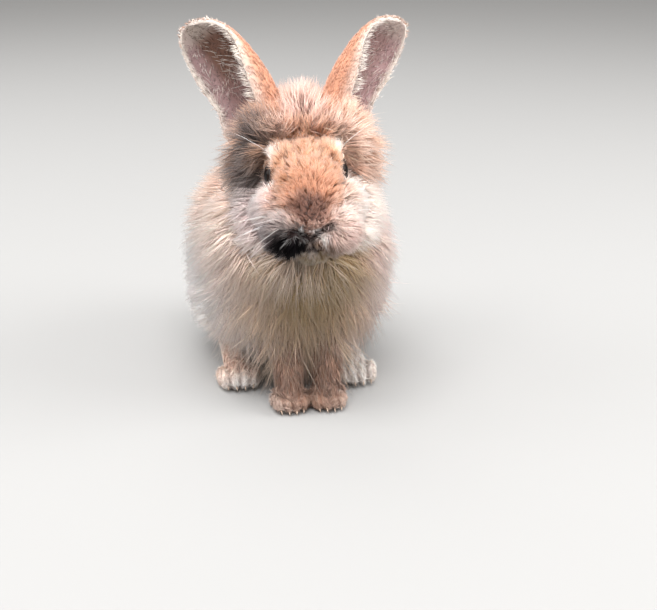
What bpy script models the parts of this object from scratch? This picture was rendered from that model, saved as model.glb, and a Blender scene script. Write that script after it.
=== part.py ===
"""A long-haired dwarf rabbit, life size, sitting up on its forefeet and looking ahead.

Metres, +Z up. The rabbit looks along -Y, its own left side is +X, and all four feet stand on
Z = 0. The flesh is made of rounded masses that are fused, smoothed and parted by thin cuts.
Where the coat is long, the masses are a core half as deep as the coat, and flat, tapered locks
grow out of it to the coat's full depth, laid the way the hair lies.
"""

import math
import random

import bmesh
import bpy
from mathutils import Matrix, Vector
from mathutils.bvhtree import BVHTree
from mathutils.geometry import intersect_ray_tri

# Driving dimensions, from the floor (Z = 0) under the front of the chest.
HEAD_CENTRE = Vector((0.0015, 0.012, 0.133))
HEAD_TURN = math.radians(-5.0)
HEAD_TILT = math.radians(3.5)
BODY_HALF_WIDTH = 0.053
EYE_RADIUS = 0.0080
EAR_LENGTH = {"left": 0.0755, "right": 0.0790}
EAR_WIDTH = 0.052
EAR_WALL = 0.0024
FOREFOOT_SPREAD = 0.0114
HINDFOOT_SPREAD = {"left": 0.034, "right": 0.037}
HINDFOOT_TOES_AT = {"left": 0.031, "right": 0.0365}

CORE_SHARE = 0.5  # how much of a long coat's depth its core fills
SHORT_COAT = 0.006  # a coat up to this depth is solid to its tips and has no locks
GAP = 0.0003  # between nodes that touch
PARTING = 0.006  # spare flesh left past a parting plane until the clean cut
SIDES = {"left": 1, "right": -1}

# Rounded masses: centre, radii, coat depth. One off the middle plane is made on both sides.
# Those of the head are placed from its centre, before it is turned and tilted.
HEAD_MASSES = {
    "cranium": ((0.0, 0.024, 0.012), (0.024, 0.024, 0.024), 0.012),
    "crown": ((0.0, 0.022, 0.031), (0.014, 0.012, 0.012), 0.016),
    "temple": ((0.020, 0.027, 0.008), (0.012, 0.012, 0.016), 0.012),
    "forelock": ((0.0160, 0.011, 0.025), (0.0130, 0.012, 0.012), 0.012),
    "brow": ((0.0, -0.003, 0.009), (0.0178, 0.022, 0.0165), 0.004),
    "brow_ridge": ((0.0120, -0.003, 0.0170), (0.0085, 0.0130, 0.0085), 0.004),
    "nose_bridge": ((0.0, -0.0155, 0.000), (0.0172, 0.0235, 0.0145), 0.004),
    "bridge_top": ((0.0, -0.0150, 0.0075), (0.0160, 0.0215, 0.0130), 0.004),
    "nose": ((0.0, -0.0295, -0.0085), (0.0108, 0.0105, 0.0130), 0.0025),
    "lip": ((0.0, -0.0280, -0.0215), (0.0100, 0.0110, 0.0095), 0.003),
    "whisker_pad": ((0.0115, -0.0265, -0.0180), (0.0125, 0.0125, 0.0110), 0.005),
    "under_eye": ((0.0140, -0.0100, -0.0080), (0.0125, 0.0180, 0.0130), 0.006),
    "cheek": ((0.0195, 0.011, -0.019), (0.014, 0.018, 0.015), 0.012),
    "jaw": ((0.0, -0.010, -0.022), (0.016, 0.022, 0.011), 0.008),
    "chin": ((0.0, -0.0235, -0.0285), (0.0090, 0.0095, 0.0070), 0.005),
}
BODY_MASSES = {
    "neck": ((0.0, 0.044, 0.124), (0.027, 0.026, 0.026), 0.018),
    "chest": ((0.0, 0.036, 0.080), (0.036, 0.028, 0.038), 0.020),
    "shoulder": ((0.022, 0.048, 0.086), (0.024, 0.030, 0.036), 0.018),
    "ribs": ((0.0, 0.080, 0.084), (BODY_HALF_WIDTH, 0.044, 0.050), 0.019),
    "belly": ((0.0, 0.082, 0.056), (0.043, 0.046, 0.036), 0.014),
    "flank": ((0.026, 0.062, 0.076), (0.024, 0.030, 0.038), 0.018),
    "loin": ((0.0, 0.100, 0.082), (0.047, 0.040, 0.047), 0.019),
    "rump": ((0.0, 0.118, 0.069), (0.047, 0.040, 0.047), 0.018),
    "haunch": ((0.034, 0.100, 0.050), (0.021, 0.036, 0.034), 0.014),
}
TAIL_MASSES = {
    "dock": ((0.0, 0.163, 0.048), (0.011, 0.013, 0.013), 0.013),
    "scut": ((0.0, 0.170, 0.062), (0.009, 0.009, 0.012), 0.010),
}

# Where the flesh is parted: a point on each plane and the normal to its front or upper side.
HEAD_PLANE = (Vector((0.0, 0.040, 0.128)), Vector((0.0, -0.60, 0.80)))
NECK_PLANE = (Vector((0.0, 0.048, 0.106)), Vector((0.0, -0.45, 0.89)))
CHEST_PLANE = (Vector((0.0, 0.056, 0.090)), Vector((0.0, -1.0, 0.10)))
THIGH_REGION = ((0.050, 0.102, 0.044), (0.026, 0.044, 0.046))

# How each piece is fused: voxel, rounds of smoothing, triangles left.
FUSING = {
    "head": (0.0016, 8, 1050),
    "body": (0.0030, 8, 900),
    "tail": (0.0022, 4, 200),
    "foreleg": (0.0016, 4, 240),
    "forefoot": (0.0010, 2, 380),
    "hindfoot": (0.0012, 2, 400),
    "head_guide": (0.0016, 8, 8000),
    "body_guide": (0.0030, 8, 4000),
}

FINISHES = {
    "coat_tan": ((0.78, 0.52, 0.34), 0.9),
    "coat_cream": ((0.86, 0.70, 0.56), 0.9),
    "coat_rust": ((0.62, 0.36, 0.22), 0.9),
    "eye_brown": ((0.02, 0.012, 0.010), 0.08),
}


def clear_scene():
    for obj in list(bpy.data.objects):
        bpy.data.objects.remove(obj)


def finish(name):
    """The material of that name, made the first time it is asked for."""
    if name in bpy.data.materials:
        return bpy.data.materials[name]
    colour, roughness = FINISHES[name]
    material = bpy.data.materials.new(name)
    material.use_nodes = True
    shader = material.node_tree.nodes["Principled BSDF"]
    shader.inputs["Base Color"].default_value = (*colour, 1.0)
    shader.inputs["Roughness"].default_value = roughness
    shader.inputs["Metallic"].default_value = 0.0
    return material


def new_object(name, bm):
    mesh = bpy.data.meshes.new(name)
    bm.to_mesh(mesh)
    bm.free()
    obj = bpy.data.objects.new(name, mesh)
    bpy.context.scene.collection.objects.link(obj)
    return obj


def applied(obj):
    """The object with its modifiers baked into its mesh."""
    graph = bpy.context.evaluated_depsgraph_get()
    mesh = bpy.data.meshes.new_from_object(obj.evaluated_get(graph))
    obj.modifiers.clear()
    obj.data = mesh
    return obj


def twin(obj, name):
    copy = obj.copy()
    copy.data = obj.data.copy()
    copy.name = name
    bpy.context.scene.collection.objects.link(copy)
    return copy


def keep_largest(obj):
    """Drops every closed surface of the mesh but the one with the most faces."""
    bm = bmesh.new()
    bm.from_mesh(obj.data)
    left = set(bm.verts)
    surfaces = []
    while left:
        found = {left.pop()}
        edge_of_search = list(found)
        while edge_of_search:
            vert = edge_of_search.pop()
            for edge in vert.link_edges:
                other = edge.other_vert(vert)
                if other in left:
                    left.discard(other)
                    found.add(other)
                    edge_of_search.append(other)
        surfaces.append(found)
    surfaces.sort(key=len)
    scraps = [vert for surface in surfaces[:-1] for vert in surface]
    bmesh.ops.delete(bm, geom=scraps, context="VERTS")
    bm.to_mesh(obj.data)
    bm.free()
    return obj


def combined(obj, others, operation):
    """One Boolean of the object with all the others, which are then removed."""
    group = bpy.data.collections.new("operands")
    bpy.context.scene.collection.children.link(group)
    for other in others:
        group.objects.link(other)
    modifier = obj.modifiers.new("join", "BOOLEAN")
    modifier.operation = operation
    modifier.solver = "EXACT"
    modifier.operand_type = "COLLECTION"
    modifier.collection = group
    applied(obj)
    for other in others:
        bpy.data.objects.remove(other)
    bpy.data.collections.remove(group)
    return keep_largest(obj)


def grown(obj, by=GAP):
    """A copy with every face moved out by the gap."""
    copy = twin(obj, "grown")
    modifier = copy.modifiers.new("gap", "DISPLACE")
    modifier.direction = "NORMAL"
    modifier.mid_level = 0.0
    modifier.strength = by
    return applied(copy)


def set_against(obj, *hosts):
    """Cuts the object back so that it meets each host face to face."""
    return combined(obj, [grown(host) for host in hosts], "DIFFERENCE")


def half_space(plane, offset, size=0.7):
    """A block that fills the side of a plane that its normal points to, set back by offset."""
    point, normal = plane
    normal = normal.normalized()
    bm = bmesh.new()
    bmesh.ops.create_cube(bm, size=size)
    turn = normal.to_track_quat("Z", "Y").to_matrix().to_4x4()
    place = Matrix.Translation(point + normal * (offset + size / 2))
    bmesh.ops.transform(bm, matrix=place @ turn, verts=bm.verts)
    return new_object("half_space", bm)


def in_front(plane):
    return half_space(plane, GAP / 2)


def behind(plane):
    point, normal = plane
    return half_space((point, -normal), GAP / 2)


def egg(centre, radii, turn=None, subdivisions=3):
    """A closed ellipsoid."""
    bm = bmesh.new()
    bmesh.ops.create_icosphere(bm, subdivisions=subdivisions, radius=1.0)
    matrix = Matrix.Translation(centre) @ (turn or Matrix.Identity(4)) @ Matrix.Diagonal((*radii, 1.0))
    bmesh.ops.transform(bm, matrix=matrix, verts=bm.verts)
    return new_object("egg", bm)


def placed(masses, place=None):
    """Each mass on each side it is on: its centre, core radii, turn and coat depth."""
    place = place or Matrix.Identity(4)
    for centre, radii, coat in masses.values():
        filled = coat if coat <= SHORT_COAT else coat * CORE_SHARE
        for side in (1, -1) if centre[0] else (1,):
            middle = place @ Vector((centre[0] * side, centre[1], centre[2]))
            yield middle, [radius + filled for radius in radii], place.to_3x3().to_4x4(), coat


def eggs(masses, place=None):
    """The ellipsoids of a set of masses, out to the core of the coat."""
    return [egg(middle, radii, turn) for middle, radii, turn, coat in placed(masses, place)]


def limb(joints, steps=8):
    """Spheres strung along a bent limb, whose joints are points with radii."""
    made = []
    for (start, r0), (end, r1) in zip(joints, joints[1:]):
        for step in range(steps + 1):
            share = step / steps
            radius = r0 + (r1 - r0) * share
            made.append(egg(Vector(start).lerp(Vector(end), share), (radius,) * 3, subdivisions=2))
    return made


def fused(name, shapes, *windows):
    """One closed skin round overlapping shapes, smoothed where they meet, cut to the windows."""
    voxel, rounds, triangles = FUSING[name]
    bm = bmesh.new()
    for shape in shapes:
        bm.from_mesh(shape.data)
        bpy.data.objects.remove(shape)
    obj = new_object(name, bm)
    remesh = obj.modifiers.new("skin", "REMESH")
    remesh.mode = "VOXEL"
    remesh.voxel_size = voxel
    smooth = obj.modifiers.new("flow", "SMOOTH")
    smooth.factor = 0.5
    smooth.iterations = rounds
    applied(obj)
    for window in windows:
        combined(obj, [window], "INTERSECT")
    return thinned(obj, triangles)


def thinned(obj, triangles):
    obj.data.calc_loop_triangles()
    modifier = obj.modifiers.new("thin", "DECIMATE")
    modifier.ratio = min(1.0, triangles / len(obj.data.loop_triangles))
    modifier.use_collapse_triangulate = True
    return keep_largest(applied(obj))


def head_pose():
    """Places what belongs to the head: turned a little to its right and tilted."""
    turn = Matrix.Rotation(HEAD_TURN, 4, "Z") @ Matrix.Rotation(-HEAD_TILT, 4, "Y")
    return Matrix.Translation(HEAD_CENTRE) @ turn


def all_flesh():
    return eggs(HEAD_MASSES, head_pose()) + eggs(BODY_MASSES)


# The eyes sit on the sides of the head and look out, a little forward and up.
EYE_CENTRE = Vector((0.0158, -0.005, 0.0095))
EYE_GAZE = Vector((0.93, -0.33, 0.14)).normalized()
EYE_HOLLOW_RADIUS = 0.0125
EYE_HOLLOW_OUT = 0.0125
LID_RADIUS = 0.0066
LID_OUT = 0.0046
LID_THICKNESS = 0.0012


def mirrored(vector, side):
    return Vector((vector.x * side, vector.y, vector.z))


def eye(side):
    """The eyeball."""
    return egg(head_pose() @ mirrored(EYE_CENTRE, side), (EYE_RADIUS,) * 3)


def eye_hollow(side):
    """The dish in the coat that an eye looks out of."""
    gaze = mirrored(EYE_GAZE, side)
    centre = mirrored(EYE_CENTRE, side) + gaze * EYE_HOLLOW_OUT
    turn = (head_pose().to_3x3() @ gaze).to_track_quat("Z", "Y").to_matrix().to_4x4()
    radii = (EYE_HOLLOW_RADIUS * 0.85, EYE_HOLLOW_RADIUS * 0.85, EYE_HOLLOW_RADIUS)
    return egg(head_pose() @ centre, radii, turn, 2)


def lid(side):
    """The rim of both lids round the eye: a ring turned about the gaze."""
    bm = bmesh.new()
    circle = bmesh.ops.create_circle(bm, segments=4, radius=LID_THICKNESS)["verts"]
    upright = Matrix.Translation((LID_RADIUS, 0.0, 0.0)) @ Matrix.Rotation(math.pi / 2, 4, "X")
    bmesh.ops.transform(bm, matrix=upright, verts=circle)
    bmesh.ops.spin(bm, geom=bm.edges[:], cent=(0, 0, 0), axis=(0, 0, 1),
                   angle=math.tau, steps=12, use_merge=True)
    bmesh.ops.recalc_face_normals(bm, faces=bm.faces)
    gaze = mirrored(EYE_GAZE, side)
    turn = gaze.to_track_quat("Z", "Y").to_matrix().to_4x4()
    almond = Matrix.Diagonal((1.12, 0.90, 1.0, 1.0))
    place = head_pose() @ Matrix.Translation(mirrored(EYE_CENTRE, side) + gaze * LID_OUT)
    bmesh.ops.transform(bm, matrix=place @ turn @ almond, verts=bm.verts)
    return new_object("lid", bm)


# The nose and mouth, from the head's centre.
NOSTRIL = (Vector((0.0056, -0.0440, -0.0165)), (0.0062, 0.0045, 0.0010), 30.0)
PHILTRUM = (Vector((0.0, -0.0435, -0.0245)), (0.0008, 0.0050, 0.0060))
MOUTH = (Vector((0.0050, -0.0395, -0.0300)), (0.0085, 0.0065, 0.0009), -10.0)


def face_cuts():
    """Thin blades that cut the nostrils, the split lip and the line of the mouth."""
    pose = head_pose()
    cuts = [egg(pose @ PHILTRUM[0], PHILTRUM[1], pose.to_3x3().to_4x4(), 2)]
    for place, radii, slope in (NOSTRIL, MOUTH):
        for side in SIDES.values():
            turn = pose.to_3x3().to_4x4() @ Matrix.Rotation(math.radians(-slope * side), 4, "Y")
            cuts.append(egg(pose @ mirrored(place, side), radii, turn, 2))
    return cuts


def head(eyes):
    """The skull's flesh with its sockets, lids, nostrils and mouth."""
    window = half_space(HEAD_PLANE, -PARTING)
    obj = fused("head", all_flesh(), window)
    combined(obj, [in_front(HEAD_PLANE)], "INTERSECT")
    combined(obj, [eye_hollow(side) for side in SIDES.values()] + face_cuts(), "DIFFERENCE")
    combined(obj, [lid(side) for side in SIDES.values()], "UNION")
    return set_against(obj, *eyes)


# The ears: a leaf-shaped cup that opens forward and outward, its inner margin rolled right over.
# Two-sided values are keyed by side, left 1 and right -1.
EAR_BASE = Vector((0.0185, 0.026, 0.025))
EAR_AXES = {1: Vector((0.715, 0.10, 0.80)), -1: Vector((-0.585, 0.10, 0.80))}
EAR_FACING = {1: math.radians(42.0), -1: math.radians(30.0)}
EAR_ROWS = 9
EAR_COLUMNS = 10
EAR_FOOT_WIDTH = 0.66
EAR_WIDEST = 0.50
EAR_DEPTH = 0.56  # of a round cup
EAR_ROLL = {"inner": (160.0, 136.0, 60.0), "outer": (120.0, 54.0, 42.0)}  # foot, middle and tip, in degrees
EAR_ROLL_MIDDLE = 0.35
EAR_LEAN_BACK = 0.006
EAR_FOOT = (0.0120, 0.0115, 0.0135)  # the solid foot, and how far up the ear its middle is
EAR_FOOT_UP = 0.03


def ear_width(share):
    """The ear's width at a share of its length, against its greatest."""
    if share < EAR_WIDEST:
        rise = share / EAR_WIDEST
        return EAR_FOOT_WIDTH + (1.0 - EAR_FOOT_WIDTH) * math.sin(rise * math.pi / 2)
    fall = (share - EAR_WIDEST) / (1.0 - EAR_WIDEST)
    return max(0.12, (1.0 - fall ** 3.0) ** 0.52)


def ear_length(side):
    return EAR_LENGTH["left" if side > 0 else "right"]


def ear_roll(share, margin):
    """How far a margin is rolled forward, in radians."""
    foot, middle, tip = EAR_ROLL[margin]
    if share < EAR_ROLL_MIDDLE:
        return math.radians(foot + (middle - foot) * share / EAR_ROLL_MIDDLE)
    onward = (share - EAR_ROLL_MIDDLE) / (1.0 - EAR_ROLL_MIDDLE)
    return math.radians(middle + (tip - middle) * onward ** 1.3)


def ear_frame(side):
    """The ear's own directions: up its length, out of its hollow, and across."""
    up = EAR_AXES[side].normalized()
    facing = Vector((math.sin(EAR_FACING[side]) * side, -math.cos(EAR_FACING[side]), 0.0))
    out = (facing - up * facing.dot(up)).normalized()
    return up, out, out.cross(up) * side


def ear_point(side, share, turn):
    """A point on the ear's wall, at a share of its length and of the roll of one margin."""
    up, out, across = ear_frame(side)
    half = EAR_WIDTH * ear_width(share) / 2
    spine = mirrored(EAR_BASE, side) + up * ear_length(side) * share
    spine -= out * (EAR_LEAN_BACK * math.sin(share * math.pi / 2) + half * 0.4)
    angle = ear_roll(share, "inner" if turn > 0 else "outer") * turn
    return spine + (across * math.sin(angle) + out * (1 - math.cos(angle)) * EAR_DEPTH) * half


def ear(side, head_core):
    """The cup of one ear, on a solid foot that meets the head."""
    bm = bmesh.new()
    rows = []
    for row in range(EAR_ROWS + 1):
        share = row / EAR_ROWS
        turns = [2 * column / EAR_COLUMNS - 1 for column in range(EAR_COLUMNS + 1)]
        rows.append([bm.verts.new(ear_point(side, share, turn)) for turn in turns])
    for lower, upper in zip(rows, rows[1:]):
        for column in range(EAR_COLUMNS):
            bm.faces.new((lower[column], lower[column + 1], upper[column + 1], upper[column]))
    bmesh.ops.recalc_face_normals(bm, faces=bm.faces)
    bmesh.ops.triangulate(bm, faces=bm.faces)
    bmesh.ops.transform(bm, matrix=head_pose(), verts=bm.verts)
    obj = new_object("ear", bm)
    wall = obj.modifiers.new("wall", "SOLIDIFY")
    wall.thickness = EAR_WALL
    wall.offset = 0.0
    applied(obj)
    up, out, across = ear_frame(side)
    foot = head_pose() @ (mirrored(EAR_BASE, side) + up * ear_length(side) * EAR_FOOT_UP)
    turn = (head_pose().to_3x3() @ up).to_track_quat("Z", "Y").to_matrix().to_4x4()
    combined(obj, [egg(foot, EAR_FOOT, turn, 2)], "UNION")
    return set_against(obj, head_core)


# The legs and feet: points with radii along each limb, across (against the feet's spread), along
# and up, and toes side by side, each a rounded mass.
FORELEG = [((1.5, 0.020, 0.062), 0.0135), ((1.0, 0.009, 0.034), 0.0108), ((1.0, 0.004, 0.012), 0.0104)]
WRIST_HEIGHT = 0.021
FOREFOOT = [((1.0, 0.0075, 0.0270), 0.0105), ((1.0, 0.0010, 0.0085), 0.0100)]
FOREFOOT_TOES = ((1.0, -0.0035, 0.0055), 4, 0.0050, (0.0031, 0.0085, 0.0062))
HINDFOOT = [((0.98, 0.0675, 0.0100), 0.0100), ((1.0, 0.0335, 0.0095), 0.0100),
            ((1.02, 0.0095, 0.0100), 0.0112)]
HINDFOOT_TOES = ((1.03, 0.0, 0.0070), 4, 0.0056, (0.0036, 0.0105, 0.0078))
TOE_FAN = 0.10  # each toe's turn, and how far the outer ones lie back
TOE_BACK = 0.0016
FLOOR = (Vector((0.0, 0.0, 0.0)), Vector((0.0, 0.0, 1.0)))
WRIST = (Vector((0.0, 0.0, WRIST_HEIGHT)), Vector((0.0, 0.0, 1.0)))


def limb_at(joints, spread, forward):
    return [((x * spread, y + forward, z), radius) for (x, y, z), radius in joints]


def toes(sizes, spread, forward):
    """Rounded toes in a shallow fan, the middle ones a little ahead."""
    (x, y, z), count, pitch, radii = sizes
    made = []
    for toe in range(count):
        across = toe - (count - 1) / 2
        place = Vector((x * spread + across * pitch, y + forward + abs(across) * TOE_BACK, z))
        made.append(egg(place, radii, Matrix.Rotation(-across * TOE_FAN, 4, "Z"), 2))
    return made


def own_side(side):
    """The half of space on one side of the rabbit's middle plane."""
    return in_front((Vector((0.0, 0.0, 0.0)), Vector((side, 0.0, 0.0))))


def foreleg(side, chest):
    """The straight foreleg, from the chest's coat to the wrist."""
    obj = fused("foreleg", limb(limb_at(FORELEG, FOREFOOT_SPREAD * side, 0.0)))
    combined(obj, [in_front(WRIST)], "INTERSECT")
    combined(obj, [own_side(side)], "INTERSECT")
    return set_against(obj, chest)


def forefoot(side):
    """A forefoot with its four toes, flat underneath."""
    spread = FOREFOOT_SPREAD * side
    obj = fused("forefoot", limb(limb_at(FOREFOOT, spread, 0.0)) + toes(FOREFOOT_TOES, spread, 0.0))
    combined(obj, [behind(WRIST)], "INTERSECT")
    combined(obj, [own_side(side)], "INTERSECT")
    return combined(obj, [half_space(FLOOR, 0.0)], "INTERSECT")


def hindfoot(name, side, *hosts):
    """The long hind foot, flat on the floor from heel to toes."""
    spread = HINDFOOT_SPREAD[name] * side
    forward = HINDFOOT_TOES_AT[name]
    shapes = limb(limb_at(HINDFOOT, spread, forward)) + toes(HINDFOOT_TOES, spread, forward)
    obj = set_against(fused("hindfoot", shapes), *hosts)
    return combined(obj, [half_space(FLOOR, 0.0)], "INTERSECT")


def thigh_region(side, by=0.0):
    (x, y, z), radii = THIGH_REGION
    return egg((x * side, y, z), [radius + by for radius in radii])


# The long coat: flat, tapered locks. Each is a three-sided spike, cut across where it bends, that
# is laid over the core along the lie of the hair. Stations run from its root (0) to its tip (1).
LOCK_STATIONS = (0.0, 0.30, 0.64, 1.0)
LOCK_WIDTHS = (0.62, 1.0, 0.76, 0.0)  # against its greatest width
LOCK_HEIGHTS = (0.0, 0.50, 0.84, 1.0)  # against its rise over the core
LOCK_THICKNESS = (0.0010, 0.0026, 0.0019, 0.0)
LOCK_SINK = 0.0034  # how deep a root lies in the core
LOCK_LENGTH = 2.1  # these three against the depth of the coat
LOCK_WIDTH = 1.0
LOCK_RISE = 0.52
LOCK_SPACING = {"head": 0.0125, "neck": 0.0165, "chest": 0.0165, "torso": 0.0195,
                "thigh_left": 0.0180, "thigh_right": 0.0180, "tail": 0.0150}
LOCK_HOLD = 0.0008  # the least depth in the core that counts as rooted
LOCK_TRIES = 1400  # random places looked at on each node
EYE_CLEAR = 0.014  # bare ground round an eye, and round the foot of an ear
EAR_CLEAR = 0.012
FLOOR_CLEAR = 0.003
CUT_FACE_DEPTH = 0.0015  # deeper than this under the skin, a face is where the flesh was parted
CROWN_FROM = 0.026  # from the head's centre: above this the hair stands up, out from a middle line
CROWN_MIDDLE = 0.016
CROWN_BACK = 0.034


def coat_masses():
    return [*placed(HEAD_MASSES, head_pose()), *placed(BODY_MASSES), *placed(TAIL_MASSES)]


def coat_at(point, masses):
    """How deep the coat is at a place: that of the mass which reaches it best."""
    def reach(mass):
        middle, radii, turn, coat = mass
        inward = turn.inverted() @ (point - middle)
        return Vector([inward[axis] / radii[axis] for axis in range(3)]).length
    return min(masses, key=reach)[3]


def ramp(value, low, high):
    return min(1.0, max(0.0, (value - low) / (high - low)))


def lie(point):
    """The way the hair lies: off the face, up at the crown, down the chest, back on the body."""
    face = head_pose().inverted() @ point
    plane, normal = HEAD_PLANE
    if (point - plane).dot(normal) > 0:
        outward = min(1.0, max(-1.0, face.x / 0.02))
        if face.z > CROWN_FROM and face.y < CROWN_BACK:
            return Vector((0.7 * outward, 25.0 * (face.y - CROWN_MIDDLE), 0.9))
        return Vector((0.7 * outward, 0.60, -0.50))
    back = ramp(point.y, 0.015, 0.060)
    rump = ramp(point.y, 0.115, 0.160)
    return Vector((6.0 * point.x, 0.1 + 0.9 * back - 0.4 * rump, -1.0 + 0.6 * back - 0.6 * rump))


def straight_lock():
    """A closed three-sided spike, one long, standing on its root."""
    bm = bmesh.new()
    bmesh.ops.create_cone(bm, cap_ends=True, segments=3, radius1=1.0, radius2=0.0, depth=1.0)
    bmesh.ops.translate(bm, vec=(0.0, 0.0, 0.5), verts=bm.verts)
    bmesh.ops.remove_doubles(bm, verts=bm.verts, dist=1e-5)
    for share in LOCK_STATIONS[1:-1]:
        bmesh.ops.bisect_plane(bm, geom=bm.verts[:] + bm.edges[:] + bm.faces[:],
                               plane_co=(0, 0, share), plane_no=(0, 0, 1))
    bmesh.ops.triangulate(bm, faces=bm.faces)
    return bm


def walk(root, skin, length):
    """Where a lock's stations lie on the core: places, normals there and ways along the lie."""
    place, normal = root
    found = []
    for share, after in zip(LOCK_STATIONS, (*LOCK_STATIONS[1:], 1.0)):
        way = lie(place)
        way = (way - normal * way.dot(normal)).normalized()
        found.append((place, normal, way))
        place, normal = skin.find_nearest(place + way * length * (after - share))[:2]
    return found


def lock_ring(station, skin, width, height, fat):
    """The three corners of a lock at a station: its two edges over the core and its ridge."""
    share, (place, normal, way) = station
    across = normal.cross(way) * (LOCK_WIDTHS[share] * width / 2 + fat)
    edges = []
    for edge in (place + across, place - across):
        below, up = skin.find_nearest(edge)[:2]
        edges.append(below + up * height)
    middle = (edges[0] + edges[1]) / 2
    bulge = max(0.0, (place + normal * height - middle).dot(normal))
    return [*edges, middle + normal * (bulge + LOCK_THICKNESS[share] + 2 * fat)]


def laid_lock(root, skin, length, width, rise, sink, fat=0.0):
    """A lock bent over the core, from its sunk root to its lifted tip, swollen all round by fat."""
    path = walk(root, skin, length)
    heights = [rise * share - fat for share in LOCK_HEIGHTS]
    heights[0] = -sink
    rings = [lock_ring(station, skin, width, heights[station[0]], fat) for station in enumerate(path[:-1])]
    place, normal, way = path[-1]
    tip = place + normal * heights[-1] + way * fat
    bm = straight_lock()
    for vert in bm.verts:
        station = min(range(len(path)), key=lambda item: abs(LOCK_STATIONS[item] - vert.co.z))
        if station == len(rings):
            vert.co = tip
        elif vert.co.y > 0.0:
            vert.co = rings[station][2]
        else:
            vert.co = rings[station][0 if vert.co.x < 0.0 else 1]
    bmesh.ops.recalc_face_normals(bm, faces=bm.faces)
    return bm


def crosses_itself(bm):
    """Whether an edge of a lock pierces one of its other faces, as where the skin folds it."""
    for face in bm.faces:
        corners = [vert.co for vert in face.verts]
        for edge in bm.edges:
            start, end = edge.verts
            if start in face.verts or end in face.verts:
                continue
            along = end.co - start.co
            hit = intersect_ray_tri(*corners, along, start.co, True)
            if hit and (hit - start.co).length <= along.length and (hit - start.co).dot(along) >= 0.0:
                return True
    return False


def inside(point, tree, depth):
    """Whether a place lies in a closed surface, at least that deep."""
    place, normal = tree.find_nearest(point)[:2]
    return (point - place).dot(normal) < -depth


def lock_roots(obj, skin, masses):
    """Random places on the long coat of a node, off its cut faces and clear of eyes and ears."""
    mesh = obj.data
    mesh.calc_loop_triangles()
    faces = list(mesh.loop_triangles)
    draw = random.Random(len(obj.name))
    pose = head_pose()
    eyes = [pose @ mirrored(EYE_CENTRE, side) for side in SIDES.values()]
    ears = [pose @ mirrored(EAR_BASE, side) for side in SIDES.values()]
    roots = []
    for face in draw.choices(faces, weights=[face.area for face in faces], k=LOCK_TRIES):
        a, b, c = (mesh.vertices[corner].co for corner in face.vertices)
        low, high = sorted((draw.random(), draw.random()))
        point = a * low + b * (high - low) + c * (1 - high)
        bare = coat_at(point, masses) <= SHORT_COAT
        bare = bare or any((point - eye).length < EYE_CLEAR for eye in eyes)
        bare = bare or any((point - ear).length < EAR_CLEAR for ear in ears)
        buried = (skin.find_nearest(point)[0] - point).length > CUT_FACE_DEPTH
        if not (bare or buried):
            roots.append((point, face.normal.copy()))
    return roots


# Sizes to try where the usual ones touch something: length, width and rise, against the usual.
LOCK_FITS = ((1.0, 1.0, 1.0), (0.85, 0.85, 1.25), (0.7, 0.8, 0.9), (0.55, 0.65, 1.3), (0.45, 0.55, 0.8))


def lock_sizes(coat, vary, fit):
    """A lock's length, width, rise and sink: no two on a node are alike."""
    longer, wider, higher = fit
    return (LOCK_LENGTH * coat * vary * longer, LOCK_WIDTH * coat * wider * (2.0 - vary),
            LOCK_RISE * coat * vary * higher, LOCK_SINK * vary)


def touches(bm, others):
    tree = BVHTree.FromBMesh(bm)
    return any(tree.overlap(other) for other in others)


def fitted_lock(root, skin, coat, vary, others, fellows):
    """A lock clear of other nodes and the floor, and if possible of its fellows, and its outline."""
    chosen = None
    for fit in LOCK_FITS:
        sizes = lock_sizes(coat, vary, fit)
        shape = laid_lock(root, skin, *sizes)
        fat = laid_lock(root, skin, *sizes, fat=2 * GAP)
        low = min(vert.co.z for vert in fat.verts) < FLOOR_CLEAR
        if low or crosses_itself(shape) or touches(shape, others) or touches(fat, others):
            shape.free()
            fat.free()
            continue
        alone = not touches(fat, fellows)
        if alone or not chosen:
            chosen = (shape, BVHTree.FromBMesh(fat))
        fat.free()
        if alone:
            break
    return chosen


def locks_for(name, obj, skin, masses, others):
    """The locks of one node, spread evenly over it, and a tree of each for the next to keep clear of."""
    own = tree_of(obj)
    made, outlines, taken = [], [], []
    for root in lock_roots(obj, skin, masses):
        if any((root[0] - other).length < LOCK_SPACING[name] for other in taken):
            continue
        vary = 0.88 + 0.24 * random.Random(len(made)).random()
        fitted = fitted_lock(root, skin, coat_at(root[0], masses), vary, others, outlines)
        if not fitted:
            continue
        shape, outline = fitted
        if sum(inside(vert.co, own, LOCK_HOLD) for vert in shape.verts) < 3:
            shape.free()
            continue
        made.append(new_object("lock", shape))
        outlines.append(outline)
        taken.append(root[0])
    return made, outlines


def tree_of(obj):
    corners = [vert.co for vert in obj.data.vertices]
    return BVHTree.FromPolygons(corners, [face.vertices for face in obj.data.polygons])


def grow_coat(nodes):
    """Joins each node's locks to its core, the foremost nodes first."""
    masses = coat_masses()
    cores = {name: tree_of(obj) for name, (obj, material) in nodes.items()}
    guides = [fused(name, all_flesh()) for name in ("head_guide", "body_guide")]
    head_skin, body_skin = [tree_of(guide) for guide in guides]
    for guide in guides:
        bpy.data.objects.remove(guide)
    skins = {"head": head_skin, "tail": cores["tail"]}
    placed_locks = {}
    for name in LOCK_SPACING:
        obj = nodes[name][0]
        others = [tree for other, tree in cores.items() if other != name]
        others += [tree for trees in placed_locks.values() for tree in trees]
        made, placed_locks[name] = locks_for(name, obj, skins.get(name, body_skin), masses, others)
        combined(obj, made, "UNION")


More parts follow.
